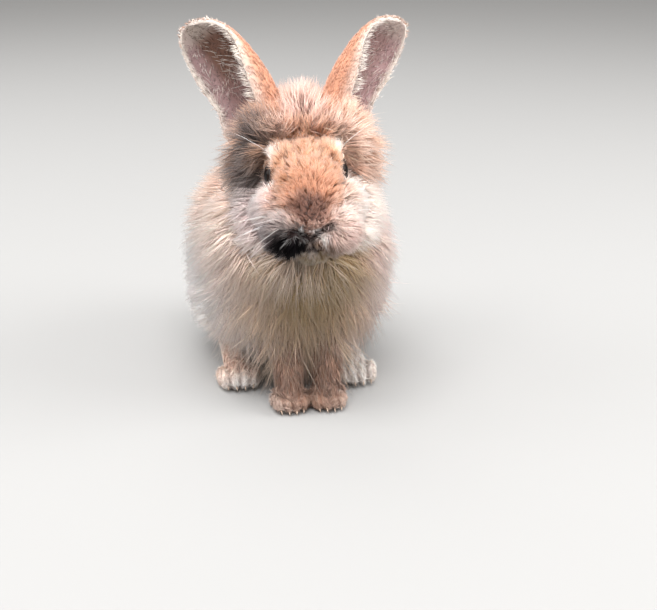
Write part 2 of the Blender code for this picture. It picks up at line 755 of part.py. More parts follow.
def build():
    clear_scene()
    nodes = {}
    eyes = [eye(side) for side in SIDES.values()]
    for name, obj in zip(SIDES, eyes):
        nodes[f"eye_{name}"] = (obj, "eye_brown")
    core = head(eyes)
    nodes["head"] = (core, "coat_tan")
    for name, side in SIDES.items():
        nodes[f"ear_{name}"] = (ear(side, core), "coat_rust")
    point, normal = HEAD_PLANE
    body = fused("body", all_flesh(), half_space((point, -normal), -PARTING))
    neck = combined(twin(body, "neck"), [behind(HEAD_PLANE)], "INTERSECT")
    combined(neck, [in_front(NECK_PLANE)], "INTERSECT")
    nodes["neck"] = (neck, "coat_cream")
    trunk = combined(body, [behind(NECK_PLANE)], "INTERSECT")
    chest = combined(twin(trunk, "chest"), [in_front(CHEST_PLANE)], "INTERSECT")
    nodes["chest"] = (chest, "coat_cream")
    combined(trunk, [behind(CHEST_PLANE)], "INTERSECT")
    thighs = []
    for name, side in SIDES.items():
        thigh = combined(twin(trunk, "thigh"), [thigh_region(side)], "INTERSECT")
        thighs.append(thigh)
        nodes[f"thigh_{name}"] = (thigh, "coat_tan")
    combined(trunk, [thigh_region(side, GAP) for side in SIDES.values()], "DIFFERENCE")
    nodes["torso"] = (trunk, "coat_tan")
    tail = fused("tail", eggs(TAIL_MASSES))
    nodes["tail"] = (set_against(tail, trunk), "coat_cream")
    for (name, side), thigh in zip(SIDES.items(), thighs):
        nodes[f"foreleg_{name}"] = (foreleg(side, chest), "coat_rust")
        nodes[f"forefoot_{name}"] = (forefoot(side), "coat_rust")
        nodes[f"hindfoot_{name}"] = (hindfoot(name, side, thigh, trunk, chest), "coat_cream")
    grow_coat(nodes)
    for name, (obj, material) in nodes.items():
        obj.name = name
        obj.data.materials.clear()
        obj.data.materials.append(finish(material))
        obj.data.shade_smooth()
        obj.data.set_sharp_from_angle(angle=math.radians(40))
    return [obj for obj, material in nodes.values()]


def set_on_origin(objects):
    """Moves everything so that the origin is under the middle of the whole, on the floor."""
    corners = [vert.co for obj in objects for vert in obj.data.vertices]
    low = [min(corner[axis] for corner in corners) for axis in range(3)]
    high = [max(corner[axis] for corner in corners) for axis in range(3)]
    move = Vector((-(low[0] + high[0]) / 2, -(low[1] + high[1]) / 2, -low[2]))
    for obj in objects:
        obj.data.transform(Matrix.Translation(move))


set_on_origin(build())
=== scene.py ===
# A dwarf rabbit, life size, sitting on all four feet with its head up: a bare skin with eyes,
# ears, claws and whiskers, under a coat of many thousands of small tapered tufts of hair.
import math

import bmesh
import bpy
import numpy as np
from mathutils import Matrix, Vector, kdtree
from mathutils.bvhtree import BVHTree


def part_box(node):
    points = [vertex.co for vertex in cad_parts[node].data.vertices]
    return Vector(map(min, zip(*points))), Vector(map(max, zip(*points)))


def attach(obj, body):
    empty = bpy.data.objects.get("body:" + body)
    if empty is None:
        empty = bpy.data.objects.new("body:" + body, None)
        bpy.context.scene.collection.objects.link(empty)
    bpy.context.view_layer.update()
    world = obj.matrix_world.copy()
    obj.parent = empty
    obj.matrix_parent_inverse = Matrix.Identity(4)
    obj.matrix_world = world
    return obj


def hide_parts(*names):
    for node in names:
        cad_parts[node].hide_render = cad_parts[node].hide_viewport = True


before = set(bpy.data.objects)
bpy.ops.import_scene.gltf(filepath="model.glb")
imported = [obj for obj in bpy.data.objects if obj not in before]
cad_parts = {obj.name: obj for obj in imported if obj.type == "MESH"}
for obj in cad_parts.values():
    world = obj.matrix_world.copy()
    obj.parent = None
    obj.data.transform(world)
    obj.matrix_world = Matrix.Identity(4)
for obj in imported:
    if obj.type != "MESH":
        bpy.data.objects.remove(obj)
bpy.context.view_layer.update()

# The skin: one closed hide over the head, neck, trunk, legs and tail. It is fused from rounded
# masses, each known by its centre, radii and the depth of the coat that grows on it, and the head
# is turned and tilted a little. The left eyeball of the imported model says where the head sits.
HEAD_TURN, HEAD_TILT = math.radians(-5.0), math.radians(3.5)
HEAD_ROTATION = Matrix.Rotation(HEAD_TURN, 4, "Z") @ Matrix.Rotation(-HEAD_TILT, 4, "Y")
EYE_CENTRE = Vector((0.0158, -0.005, 0.0095))
EYE_GAZE = Vector((0.955, -0.25, 0.14)).normalized()
EYE_RADIUS = 0.0080
eye_low, eye_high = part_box("eye_left")
head_centre = (eye_low + eye_high) / 2 - HEAD_ROTATION @ EYE_CENTRE
HEAD_PLACE = Vector((0.0015, 0.012, 0.133))
SHIFT = head_centre - HEAD_PLACE
HEAD = Matrix.Translation(head_centre) @ HEAD_ROTATION

HEAD_MASSES = {  # place from the head's centre, radii, depth of coat
    "cranium": ((0.0, 0.024, 0.012), (0.024, 0.024, 0.024), 0.013),
    "crown": ((0.0, 0.022, 0.031), (0.014, 0.012, 0.012), 0.017),
    "temple": ((0.0215, 0.025, 0.013), (0.013, 0.013, 0.018), 0.019),
    "forelock": ((0.016, 0.011, 0.025), (0.013, 0.012, 0.012), 0.015),
    "brow": ((0.0, -0.003, 0.009), (0.018, 0.022, 0.0165), 0.0052),
    "brow_ridge": ((0.012, -0.003, 0.017), (0.0085, 0.013, 0.0085), 0.0056),
    "nose_bridge": ((0.0, -0.0155, 0.0), (0.0178, 0.0235, 0.0145), 0.005),
    "bridge_top": ((0.0, -0.015, 0.0075), (0.0165, 0.0215, 0.013), 0.005),
    "nose": ((0.0, -0.0295, -0.0085), (0.0108, 0.0105, 0.013), 0.0026),
    "lip": ((0.0, -0.028, -0.0215), (0.01, 0.011, 0.0095), 0.003),
    "whisker_pad": ((0.0115, -0.0265, -0.018), (0.0125, 0.0125, 0.011), 0.0066),
    "under_eye": ((0.014, -0.01, -0.008), (0.013, 0.018, 0.013), 0.0085),
    "cheek": ((0.0195, 0.011, -0.019), (0.014, 0.018, 0.015), 0.015),
    "jaw": ((0.0, -0.01, -0.022), (0.016, 0.022, 0.011), 0.01),
    "chin": ((0.0, -0.0235, -0.0285), (0.009, 0.0095, 0.007), 0.0045),
    "eye_mound": (EYE_CENTRE - EYE_GAZE * 0.0014, (0.0086, 0.0086, 0.0086), 0.0034),
}
BODY_MASSES = {  # the same, from the floor under the feet
    "neck": ((0.0, 0.044, 0.124), (0.027, 0.026, 0.026), 0.02),
    "chest": ((0.0, 0.036, 0.08), (0.036, 0.028, 0.038), 0.023),
    "shoulder": ((0.022, 0.048, 0.086), (0.024, 0.03, 0.036), 0.022),
    "ribs": ((0.0, 0.08, 0.084), (0.053, 0.044, 0.05), 0.021),
    "belly": ((0.0, 0.082, 0.056), (0.043, 0.046, 0.036), 0.014),
    "flank": ((0.026, 0.062, 0.076), (0.024, 0.03, 0.038), 0.02),
    "loin": ((0.0, 0.1, 0.082), (0.047, 0.04, 0.047), 0.019),
    "saddle": ((0.0, 0.11, 0.078), (0.05, 0.041, 0.047), 0.018),
    "hip": ((0.028, 0.098, 0.066), (0.026, 0.04, 0.034), 0.017),
    "rump": ((0.0, 0.118, 0.069), (0.047, 0.04, 0.047), 0.018),
    "haunch": ((0.034, 0.1, 0.05), (0.021, 0.036, 0.034), 0.014),
}
TAIL_MASSES = {
    "dock": ((0.0, 0.163, 0.048), (0.011, 0.013, 0.013), 0.013),
    "scut": ((0.0, 0.17, 0.062), (0.009, 0.009, 0.012), 0.01),
}
# Limbs are strings of balls: points with radii, x against the foot's place aside.
LIMBS = {
    "foreleg": (((1.5, 0.020, 0.062), 0.0120), ((1.0, 0.009, 0.034), 0.0088),
                ((1.0, 0.004, 0.020), 0.0078), ((1.0, 0.0010, 0.0085), 0.0075)),
    "hindfoot": (((0.98, 0.0675, 0.0100), 0.0082), ((1.0, 0.0335, 0.0090), 0.0080),
                 ((1.02, 0.0080, 0.0085), 0.0078)),
}
FORE_TOES = ((1.0, -0.0045, 0.0048), 0.0054, (0.0025, 0.0088, 0.0046))  # middle, pitch, radii
HIND_TOES = ((1.03, -0.0010, 0.0060), 0.0064, (0.0029, 0.0108, 0.0058))
FEET = {  # limb, place aside and back, toes
    "left": (("foreleg", 0.0114, 0.0, FORE_TOES), ("hindfoot", 0.034, 0.031, HIND_TOES)),
    "right": (("foreleg", -0.0114, 0.0, FORE_TOES), ("hindfoot", -0.037, 0.0365, HIND_TOES)),
}
TOE_FAN, TOE_BACK, TOES = 0.10, 0.0016, 4
LIMB_COAT, TOE_COAT = {"foreleg": 0.0045, "hindfoot": 0.0032}, 0.0023
LONGER_FROM, LONGER_OVER, LONGER = 0.018, 0.030, 1.3  # the coat of a limb, up from the foot
LENGTH_STEPS = 8  # balls in each length of a limb


def mirrored(vector, side):
    return Vector((vector[0] * side, vector[1], vector[2]))


def toe_places(spread, forward, toes):
    """The centre, turn and radii of each toe of a foot, in a shallow fan."""
    (x, y, z), pitch, radii = toes
    for toe in range(TOES):
        across = toe - (TOES - 1) / 2
        place = Vector((x * spread + across * pitch, y + forward + abs(across) * TOE_BACK, z))
        yield place + SHIFT, Matrix.Rotation(-across * TOE_FAN, 4, "Z"), radii


def all_masses():
    """Every mass of the hide: kind, centre, radii, turn and depth of coat."""
    floor = Matrix.Translation(SHIFT)
    for kind, masses, place in (("head", HEAD_MASSES, HEAD), ("body", BODY_MASSES, floor),
                                ("tail", TAIL_MASSES, floor)):
        for centre, radii, coat in masses.values():
            for side in (1, -1) if centre[0] else (1,):
                yield kind, place @ mirrored(centre, side), radii, place.to_3x3().to_4x4(), coat
    for pair in FEET.values():
        for limb, spread, forward, toes in pair:
            joints = [(Vector((x * spread, y + forward, z)) + SHIFT, radius)
                      for (x, y, z), radius in LIMBS[limb]]
            for (start, r0), (end, r1) in zip(joints, joints[1:]):
                for share in np.arange(LENGTH_STEPS + 1) / LENGTH_STEPS:
                    radius, place = r0 + (r1 - r0) * share, start.lerp(end, share)
                    up = (place.z - SHIFT.z - LONGER_FROM) / LONGER_OVER
                    coat = LIMB_COAT[limb] * (1.0 + LONGER * min(1.0, max(0.0, up)))
                    yield limb, place, (radius,) * 3, Matrix.Identity(4), coat
        for limb, spread, forward, toes in pair:
            for centre, turn, radii in toe_places(spread, forward, toes):
                yield "toe", centre, radii, turn, TOE_COAT


def placed(name, data):
    """A new object in the scene."""
    obj = bpy.data.objects.new(name, data)
    bpy.context.scene.collection.objects.link(obj)
    return obj


def new_piece(name, bm):
    mesh = bpy.data.meshes.new(name)
    bm.to_mesh(mesh)
    bm.free()
    return placed(name, mesh)


def apply_modifiers(obj):
    evaluated = obj.evaluated_get(bpy.context.evaluated_depsgraph_get())
    mesh = bpy.data.meshes.new_from_object(evaluated)
    obj.modifiers.clear()
    obj.data = mesh


MASSES = list(all_masses())
bm = bmesh.new()
for kind, centre, radii, turn, coat in MASSES:
    rounds = 3 if max(radii) > 0.012 else 2
    ball = bmesh.ops.create_icosphere(bm, subdivisions=rounds, radius=1.0)["verts"]
    bmesh.ops.transform(bm, matrix=Matrix.Translation(centre) @ turn @ Matrix.Diagonal((*radii, 1.0)),
                        verts=ball)
skin = new_piece("hide", bm)
remesh = skin.modifiers.new("hide", "REMESH")
remesh.mode = "VOXEL"
remesh.voxel_size = 0.0014
smooth = skin.modifiers.new("flow", "SMOOTH")
smooth.factor = 0.5
smooth.iterations = 5
apply_modifiers(skin)


# The sockets, and the clefts of the nose and mouth, are pressed into the hide: the flesh in front
# of each eyeball moves behind it, and the flesh along each cleft moves in by the cleft's depth.
EYE_OPENING, EYE_RIM = math.radians(37.0), 0.35
SOCKET_BEHIND, RIM_PROUD = 0.0014, 0.0009  # of the eyeball's round
CLEFTS = (  # two ends from the head's centre, half width, depth
    ((-0.0012, -0.043, -0.0205), (0.01, -0.04, -0.0122), 0.0009, 0.003),
    ((-0.0012, -0.043, -0.0205), (-0.0125, -0.04, -0.014), 0.0009, 0.003),
    ((-0.0012, -0.043, -0.0205), (-0.0014, -0.04, -0.0275), 0.0007, 0.0028),
    ((-0.0014, -0.04, -0.0275), (0.006, -0.038, -0.029), 0.0008, 0.0024),
    ((-0.0014, -0.04, -0.0275), (-0.008, -0.038, -0.0285), 0.0008, 0.0024),
)
FINE_FACE = 0.0034  # how far from a cleft the hide's mesh is cut finer
FACE_REACH, NECK_REACH, SOLE = 0.046, 0.040, 0.0006  # how far the flesh is smoothed; the hide's lowest


def on_hide(surface, start, end):
    """Points closely along the hide, between two places near it, from the head's centre."""
    line = [HEAD @ Vector(start).lerp(Vector(end), share / 24) for share in range(25)]
    return in_head(np.array([surface.find_nearest(point)[0] for point in line]))


def from_line(points, line):
    """The distance of each point from a line of close points."""
    return np.min([np.linalg.norm(points - np.array(place), axis=1) for place in line], axis=0)


def in_head(points):
    """Points in the head's own directions, from its centre."""
    return (points - np.array(head_centre)) @ np.array(HEAD_ROTATION.to_3x3())


def about_eye(points, side):
    """An eye's centre, and each point's way from it, distance and angle off the gaze."""
    centre = np.array(HEAD @ mirrored(EYE_CENTRE, side))
    away = points - centre
    far = np.linalg.norm(away, axis=1)
    gaze = np.array(HEAD_ROTATION.to_3x3() @ mirrored(EYE_GAZE, side))
    return centre, away, far, np.arccos(np.clip(away @ gaze / far, -1.0, 1.0))


def read(values, name, width=1, kind=float):
    """A value of each point, triangle or loop of a mesh, in rows."""
    rows = np.empty(len(values) * width, kind)
    values.foreach_get(name, rows)
    return rows.reshape(-1, width)


bm = bmesh.new()
bm.from_mesh(skin.data)
of_face = [vert for vert in bm.verts if (vert.co - HEAD @ Vector((0.0, -0.012, -0.004))).length < FACE_REACH]
of_trunk = [vert for vert in bm.verts if vert.co.z - SHIFT.z > 0.030 and vert.co.y - SHIFT.y > 0.030
            and (vert.co - HEAD @ Vector((0.0, 0.010, 0.0))).length > NECK_REACH]
for verts, turns in ((of_face, 9), (of_trunk, 60)):
    for turn in range(turns):
        bmesh.ops.smooth_vert(bm, verts=verts, factor=0.5, use_axis_x=True, use_axis_y=True, use_axis_z=True)
surface = BVHTree.FromBMesh(bm)
lines = [(on_hide(surface, start, end), half, depth) for start, end, half, depth in CLEFTS]
unpressed = in_head(np.array([vert.co for vert in bm.verts]))
close = np.min([from_line(unpressed, line) for line, half, depth in lines], axis=0)
fine = [edge for edge in bm.edges if all(close[vert.index] < FINE_FACE for vert in edge.verts)]
bmesh.ops.subdivide_edges(bm, edges=fine, cuts=2, use_grid_fill=True, smooth=0.5)
bm.to_mesh(skin.data)
bm.free()
spots = read(skin.data.vertices, "co", 3)
for side in (1, -1):
    centre, away, far, angle = about_eye(spots, side)
    seen = (angle < EYE_OPENING) & (far < 2 * EYE_RADIUS)
    spots[seen] = centre + away[seen] / far[seen, None] * (EYE_RADIUS - SOCKET_BEHIND)
    rim = (angle >= EYE_OPENING) & (angle < EYE_OPENING + EYE_RIM) & (far < 0.0100)
    spots[rim] = centre + away[rim] / far[rim, None] * (EYE_RADIUS + RIM_PROUD)
face = in_head(spots)
inward = -(spots - np.array(HEAD @ Vector((0.0, -0.025, -0.012))))
inward /= np.linalg.norm(inward, axis=1)[:, None]
from_cleft = np.min([from_line(face, line) for line, half, depth in lines], axis=0)
for line, half, depth in lines:
    press = np.exp(-(from_line(face, line) / half) ** 2)
    spots += inward * (press * depth)[:, None]
spots[:, 2] = np.maximum(spots[:, 2], SOLE)
skin.data.vertices.foreach_set("co", spots.ravel())
skin.data.shade_smooth()


# The markings are dyed into hide and hair alike, from soft-edged patches: an apricot mask from
# brow to nose, white over the eyes, a brown nose, a black right lip and a smoky right cheek. The
# chin, throat, chest and legs, under the head and body, are dyed darker partly as painted shade,
# and the creases between the toes are darkened as painted shade.
def dye(red, green, blue):
    """A colour in display values, 0 to 255, made linear."""
    share = np.array((red, green, blue)) / 255.0
    return np.where(share <= 0.04045, share / 12.92, ((share + 0.055) / 1.055) ** 2.4)


APRICOT, PALE_APRICOT, RUST = dye(228, 166, 122), dye(255, 220, 200), dye(190, 126, 94)
CREAM, WHITE, MILK = dye(255, 240, 230), dye(255, 250, 246), dye(255, 246, 244)
SHELL_PINK, LILAC_GREY, LIP_PINK = dye(252, 222, 212), dye(230, 208, 210), dye(222, 182, 168)
FAWN, HONEY, CROWN_TAN = dye(232, 184, 156), dye(238, 182, 144), dye(196, 146, 124)
# The chest, throat, chin and leg colours below are dyed darker partly as painted shade.
CHEST_TAN_AND_SHADE, OLIVE_TAN_AND_SHADE, OLIVE_BROWN_AND_SHADE = dye(198, 160, 118), dye(162, 132, 72), dye(134, 110, 70)
LEG_RUST_AND_SHADE, LIP_TAN, NOSE_BROWN = dye(134, 92, 68), dye(122, 92, 68), dye(126, 84, 68)
ASH, SMOKE, CHARCOAL = dye(116, 96, 96), dye(74, 60, 58), dye(18, 14, 17)
# The first two below are painted shade, in the creases between the toes and in the clefts of the nose and
# mouth; the third is the lids' own dark colour.
TOE_CREASE_SHADE, CLEFT_SHADE, LID_DARK = dye(110, 74, 60), dye(36, 20, 20), dye(62, 42, 36)


def ripple(points, size, seed):
    """A smooth unevenness from -1 to 1 that repeats nowhere near."""
    draw = np.random.default_rng(seed)
    total = np.zeros(len(points))
    for turn in range(5):
        direction = draw.normal(size=3)
        direction *= (1.0 + 0.35 * turn) / (np.linalg.norm(direction) * size)
        total += np.sin(points @ direction * math.tau + draw.uniform(0, math.tau))
    return total / 3.0


def step(value, low, high):
    share = np.clip((value - low) / (high - low), 0.0, 1.0)
    return share * share * (3.0 - 2.0 * share)


def patch(points, centre, radii, soft=0.35):
    """How much each point lies in a rounded patch with a soft edge."""
    reach = np.linalg.norm((points - np.array(centre)) / np.array(radii), axis=1)
    return 1.0 - step(reach, 1.0 - soft, 1.0 + soft)


def mixed(colours, share, colour):
    return colours + (colour - colours) * share[:, None]


FACE_PATCHES = (  # colour, centre from the head's centre, radii, softness of the edge, strength
    (FAWN, (0.0, 0.052, 0.012), (0.046, 0.032, 0.04), 0.5, 0.8),
    (CROWN_TAN, (0.0, 0.016, 0.04), (0.026, 0.028, 0.022), 0.5, 0.95),
    (SHELL_PINK, (0.002, 0.01, 0.04), (0.01, 0.024, 0.014), 0.7, 0.45),
    (APRICOT, (0.02, 0.02, 0.034), (0.01, 0.018, 0.014), 0.6, 0.65),
    (APRICOT, (-0.02, 0.02, 0.034), (0.01, 0.018, 0.014), 0.6, 0.65),
    (FAWN, (0.029, 0.014, 0.016), (0.012, 0.018, 0.018), 0.5, 0.9),
    (FAWN, (-0.034, 0.022, 0.018), (0.01, 0.018, 0.02), 0.5, 0.8),
    (LILAC_GREY, (-0.024, -0.008, -0.01), (0.018, 0.026, 0.016), 0.55, 0.6),
    (SMOKE, (-0.025, 0.006, 0.018), (0.0125, 0.016, 0.021), 0.45, 0.95),
    (APRICOT, (0.0, -0.014, 0.01), (0.02, 0.034, 0.0225), 0.25, 1.0),
    (HONEY, (0.0, -0.006, 0.017), (0.0215, 0.02, 0.011), 0.6, 0.9),
    (RUST, (0.0, -0.027, 0.003), (0.014, 0.016, 0.013), 0.8, 0.9),
    (WHITE, (0.0175, -0.008, 0.02), (0.0044, 0.006, 0.0052), 0.45, 0.65),
    (WHITE, (-0.018, -0.009, 0.02), (0.0042, 0.006, 0.0056), 0.45, 0.65),
    (WHITE, (0.0215, -0.011, 0.002), (0.003, 0.005, 0.007), 0.5, 0.6),
    (WHITE, (-0.0215, -0.012, 0.002), (0.0034, 0.006, 0.007), 0.5, 0.6),
    (RUST, (-0.001, -0.041, -0.009), (0.0125, 0.012, 0.0105), 0.35, 0.6),
    (NOSE_BROWN, (-0.0012, -0.042, -0.0165), (0.006, 0.008, 0.005), 0.5, 0.55),
    (NOSE_BROWN, (-0.0012, -0.041, -0.0046), (0.0092, 0.012, 0.0078), 0.3, 0.95),
    (ASH, (-0.0205, -0.028, -0.019), (0.013, 0.015, 0.0105), 0.6, 0.95),
    (CHARCOAL, (-0.0112, -0.037, -0.0212), (0.0108, 0.015, 0.0078), 0.42, 1.0),
    (WHITE, (-0.008, -0.041, -0.0174), (0.0036, 0.006, 0.0014), 0.5, 0.85),
    (LIP_PINK, (0.017, -0.033, -0.023), (0.015, 0.015, 0.011), 0.6, 0.85),
    (LIP_TAN, (0.006, -0.0375, -0.0248), (0.0085, 0.0095, 0.005), 0.5, 0.95),
    (WHITE, (0.0036, -0.042, -0.018), (0.005, 0.006, 0.0022), 0.4, 0.85),
    # olive brown under the chin, dyed darker partly as painted shade under the head
    (OLIVE_BROWN_AND_SHADE, (0.001, -0.028, -0.0352), (0.014, 0.018, 0.0078), 0.35, 0.95),
)
BODY_PATCHES = (  # the same, from the floor under the middle of the feet
    (PALE_APRICOT, (-0.05, 0.05, 0.11), (0.036, 0.06, 0.05), 0.55, 0.6),
    (MILK, (-0.056, 0.06, 0.066), (0.03, 0.07, 0.044), 0.55, 0.9),
    (MILK, (0.056, 0.06, 0.066), (0.03, 0.07, 0.044), 0.55, 0.9),
    (MILK, (0.05, 0.026, 0.072), (0.02, 0.04, 0.04), 0.6, 0.8),
    (FAWN, (0.0, 0.1, 0.15), (0.06, 0.09, 0.06), 0.5, 0.65),
    (SHELL_PINK, (0.044, 0.03, 0.1), (0.03, 0.05, 0.06), 0.5, 0.55),
    (SHELL_PINK, (0.038, 0.0, 0.072), (0.02, 0.05, 0.034), 0.6, 0.6),
    # tan chest and olive throat, dyed darker partly as painted shade under the head
    (CHEST_TAN_AND_SHADE, (0.002, 0.0, 0.07), (0.028, 0.06, 0.044), 0.65, 0.85),
    (OLIVE_TAN_AND_SHADE, (0.003, 0.0, 0.102), (0.022, 0.05, 0.026), 0.6, 0.9),
    (CREAM, (0.006, 0.0, 0.044), (0.03, 0.05, 0.012), 0.6, 0.25),
    (CREAM, (0.0, 0.1, 0.01), (0.06, 0.06, 0.03), 0.4, 0.8),
    # rust legs, dyed darker partly as painted shade under the body
    (LEG_RUST_AND_SHADE, (0.0, 0.004, 0.022), (0.026, 0.03, 0.034), 0.35, 0.85),
    (FAWN, (0.006, -0.01, 0.004), (0.028, 0.014, 0.008), 0.5, 0.2),
    (PALE_APRICOT, (-0.037, 0.05, 0.01), (0.012, 0.03, 0.014), 0.4, 0.8),
    (WHITE, (0.035, 0.04, 0.008), (0.012, 0.034, 0.014), 0.4, 0.75),
    (WHITE, (-0.037, 0.022, 0.003), (0.013, 0.018, 0.01), 0.5, 0.9),
    (WHITE, (0.0, 0.172, 0.046), (0.016, 0.02, 0.02), 0.5, 0.85),
)


def between_toes(points):
    """How near each point is to the crease between two toes, from 0 to 1."""
    crease = np.zeros(len(points))
    for pair in FEET.values():
        for limb, spread, forward, toes in pair:
            places = [np.array(centre) for centre, turn, radii in toe_places(spread, forward, toes)]
            for first, second in zip(places, places[1:]):
                away = points - (first + second) / 2
                near = np.exp(-(away[:, 0] / 0.0009) ** 2) * (1.0 - step(away[:, 1], -0.001, 0.006))
                crease = np.maximum(crease, near * (np.abs(away[:, 1]) < 0.016))
    return crease


def head_share(face, ruffle=0.0):
    """How much each point is the head's rather than the body's, from 0 to 1."""
    return step(face @ np.array((0.0, -0.60, 0.80)) + 0.026 + ruffle, -0.010, 0.008)


def marking_and_shade(points):
    """The coat's colour over each point: markings, with painted shade below the head and between toes."""
    wavy = points + 0.0016 * np.stack([ripple(points, 0.011, seed) for seed in (3, 4, 5)], axis=1)
    face = in_head(wavy)
    on_body = wavy - np.array(SHIFT)
    body = np.tile(PALE_APRICOT * 0.40 + CREAM * 0.60, (len(points), 1))
    for colour, centre, radii, soft, strength in BODY_PATCHES:
        body = mixed(body, patch(on_body, centre, radii, soft) * strength, colour)
    head = np.tile(CREAM * 0.75 + SHELL_PINK * 0.25, (len(points), 1))
    for colour, centre, radii, soft, strength in FACE_PATCHES:
        head = mixed(head, patch(face, centre, radii, soft) * strength, colour)
    both = mixed(body, head_share(face, 0.003 * ripple(points, 0.02, 9)), head)
    # painted shade in the creases between the toes
    both = mixed(both, between_toes(points) * 0.65, TOE_CREASE_SHADE)
    return both * (1.0 + 0.07 * ripple(points, 0.006, 11))[:, None]


def write_colours(mesh, colours):
    layer = mesh.color_attributes.new("DyeAndShade", "FLOAT_COLOR", "POINT")
    opaque = np.concatenate([colours, np.ones((len(colours), 1))], axis=1)
    layer.data.foreach_set("color", opaque.astype(np.float32).ravel())


class Wire:
    """A shader socket on which Python's arithmetic works, each sum adding its Math node."""

    def __init__(self, finish, socket):
        self.finish = finish
        self.socket = socket

    def sum(self, operation, first, second):
        return self.finish.node("ShaderNodeMath", {"operation": operation}, {0: first, 1: second})

    def __add__(self, other):
        return self.sum("ADD", self, other)

    def __mul__(self, other):
        return self.sum("MULTIPLY", self, other)

    __radd__, __rmul__ = __add__, __mul__


class Finish:
    """A material of nodes round one Principled shader."""

    def __init__(self, name, constants):
        self.material = bpy.data.materials.new(name)
        self.material.use_nodes = True
        self.tree = self.material.node_tree
        self.shader = next(node for node in self.tree.nodes if node.type == "BSDF_PRINCIPLED")
        for socket, value in constants.items():
            self.shader.inputs[socket].default_value = value

    def node(self, kind, settings=None, inputs=None, output=0):
        """Adds a node: its settings first, then the values or wires of its sockets."""
        node = self.tree.nodes.new(kind)
        for setting, value in (settings or {}).items():
            setattr(node, setting, value)
        for socket, value in (inputs or {}).items():
            self.put(node.inputs[socket], value)
        return Wire(self, node.outputs[output])

    def put(self, socket, value):
        if isinstance(value, Wire):
            self.tree.links.new(value.socket, socket)
        else:
            socket.default_value = value

    def into(self, socket, value):
        self.put(self.shader.inputs[socket], value)

    def on(self, obj, slot):
        """Gives a piece this finish and hangs it on the body."""
        obj.data.materials.clear()
        obj.data.materials.append(self.material)
        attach(obj, "root")


def noise(finish, scale, detail):
    place = finish.node("ShaderNodeTexCoord", output="Object")
    return finish.node("ShaderNodeTexNoise", None, {"Vector": place, "Scale": scale, "Detail": detail})


def dyed(name, scale, low, high, constants):
    """A finish in the piece's own colours, dyes with any painted shade, made uneven by a fine grain from low
    to high.
    """
    finish = Finish(name, constants)
    grain = low + (high - low) * noise(finish, scale, 3.0)
    own = finish.node("ShaderNodeAttribute", {"attribute_name": "DyeAndShade"}, output="Color")
    grey = finish.node("ShaderNodeCombineColor", None, {0: grain, 1: grain, 2: grain})
    finish.into("Base Color", finish.node("ShaderNodeMix", {"data_type": "RGBA", "blend_type": "MULTIPLY"},
                                          {0: 1.0, 6: own, 7: grey}, output=2))
    return finish


def add_nap(finish, scale, detail, strength, depth):
    """Roughens a finish with fine downy bumps."""
    nap = {"Strength": strength, "Distance": depth, "Height": noise(finish, scale, detail)}
    finish.into("Normal", finish.node("ShaderNodeBump", None, nap, output="Normal"))


hide = dyed("rabbit_hide", 900.0, 0.78, 1.12, {"Roughness": 0.85, "Specular IOR Level": 0.2})
add_nap(hide, 1600.0, 4.0, 0.5, 0.0006)
# The hide takes the coat's colour at 0.90, painted shade under the coat; it is darkened along the clefts as
# painted shade, and takes the dark lid colour round each eye.
undercoat = marking_and_shade(spots) * 0.90
undercoat = mixed(undercoat, (1.0 - step(from_cleft, 0.0012, 0.0030)) * 0.95, CLEFT_SHADE)
by_eye = np.min([np.linalg.norm(face - np.array(mirrored(EYE_CENTRE + EYE_GAZE * 0.0065, side)), axis=1)
                 for side in (1, -1)], axis=0)
write_colours(skin.data, mixed(undercoat, 1.0 - step(by_eye, 0.0055, 0.0085), LID_DARK))
bpy.context.view_layer.objects.active = skin
skin.select_set(True)
bpy.ops.object.mode_set(mode="EDIT")
bpy.ops.mesh.select_all(action="SELECT")
bpy.ops.uv.smart_project(angle_limit=math.radians(66), island_margin=0.004)
bpy.ops.object.mode_set(mode="OBJECT")
skin.select_set(False)
skin.data.uv_layers[0].name = "OFBake"
hide.on(skin, slot="coat_tan")
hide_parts("head", "neck", "chest", "torso", "tail", "thigh_left", "thigh_right", "foreleg_left",
            "foreleg_right", "forefoot_left", "forefoot_right", "hindfoot_left", "hindfoot_right")


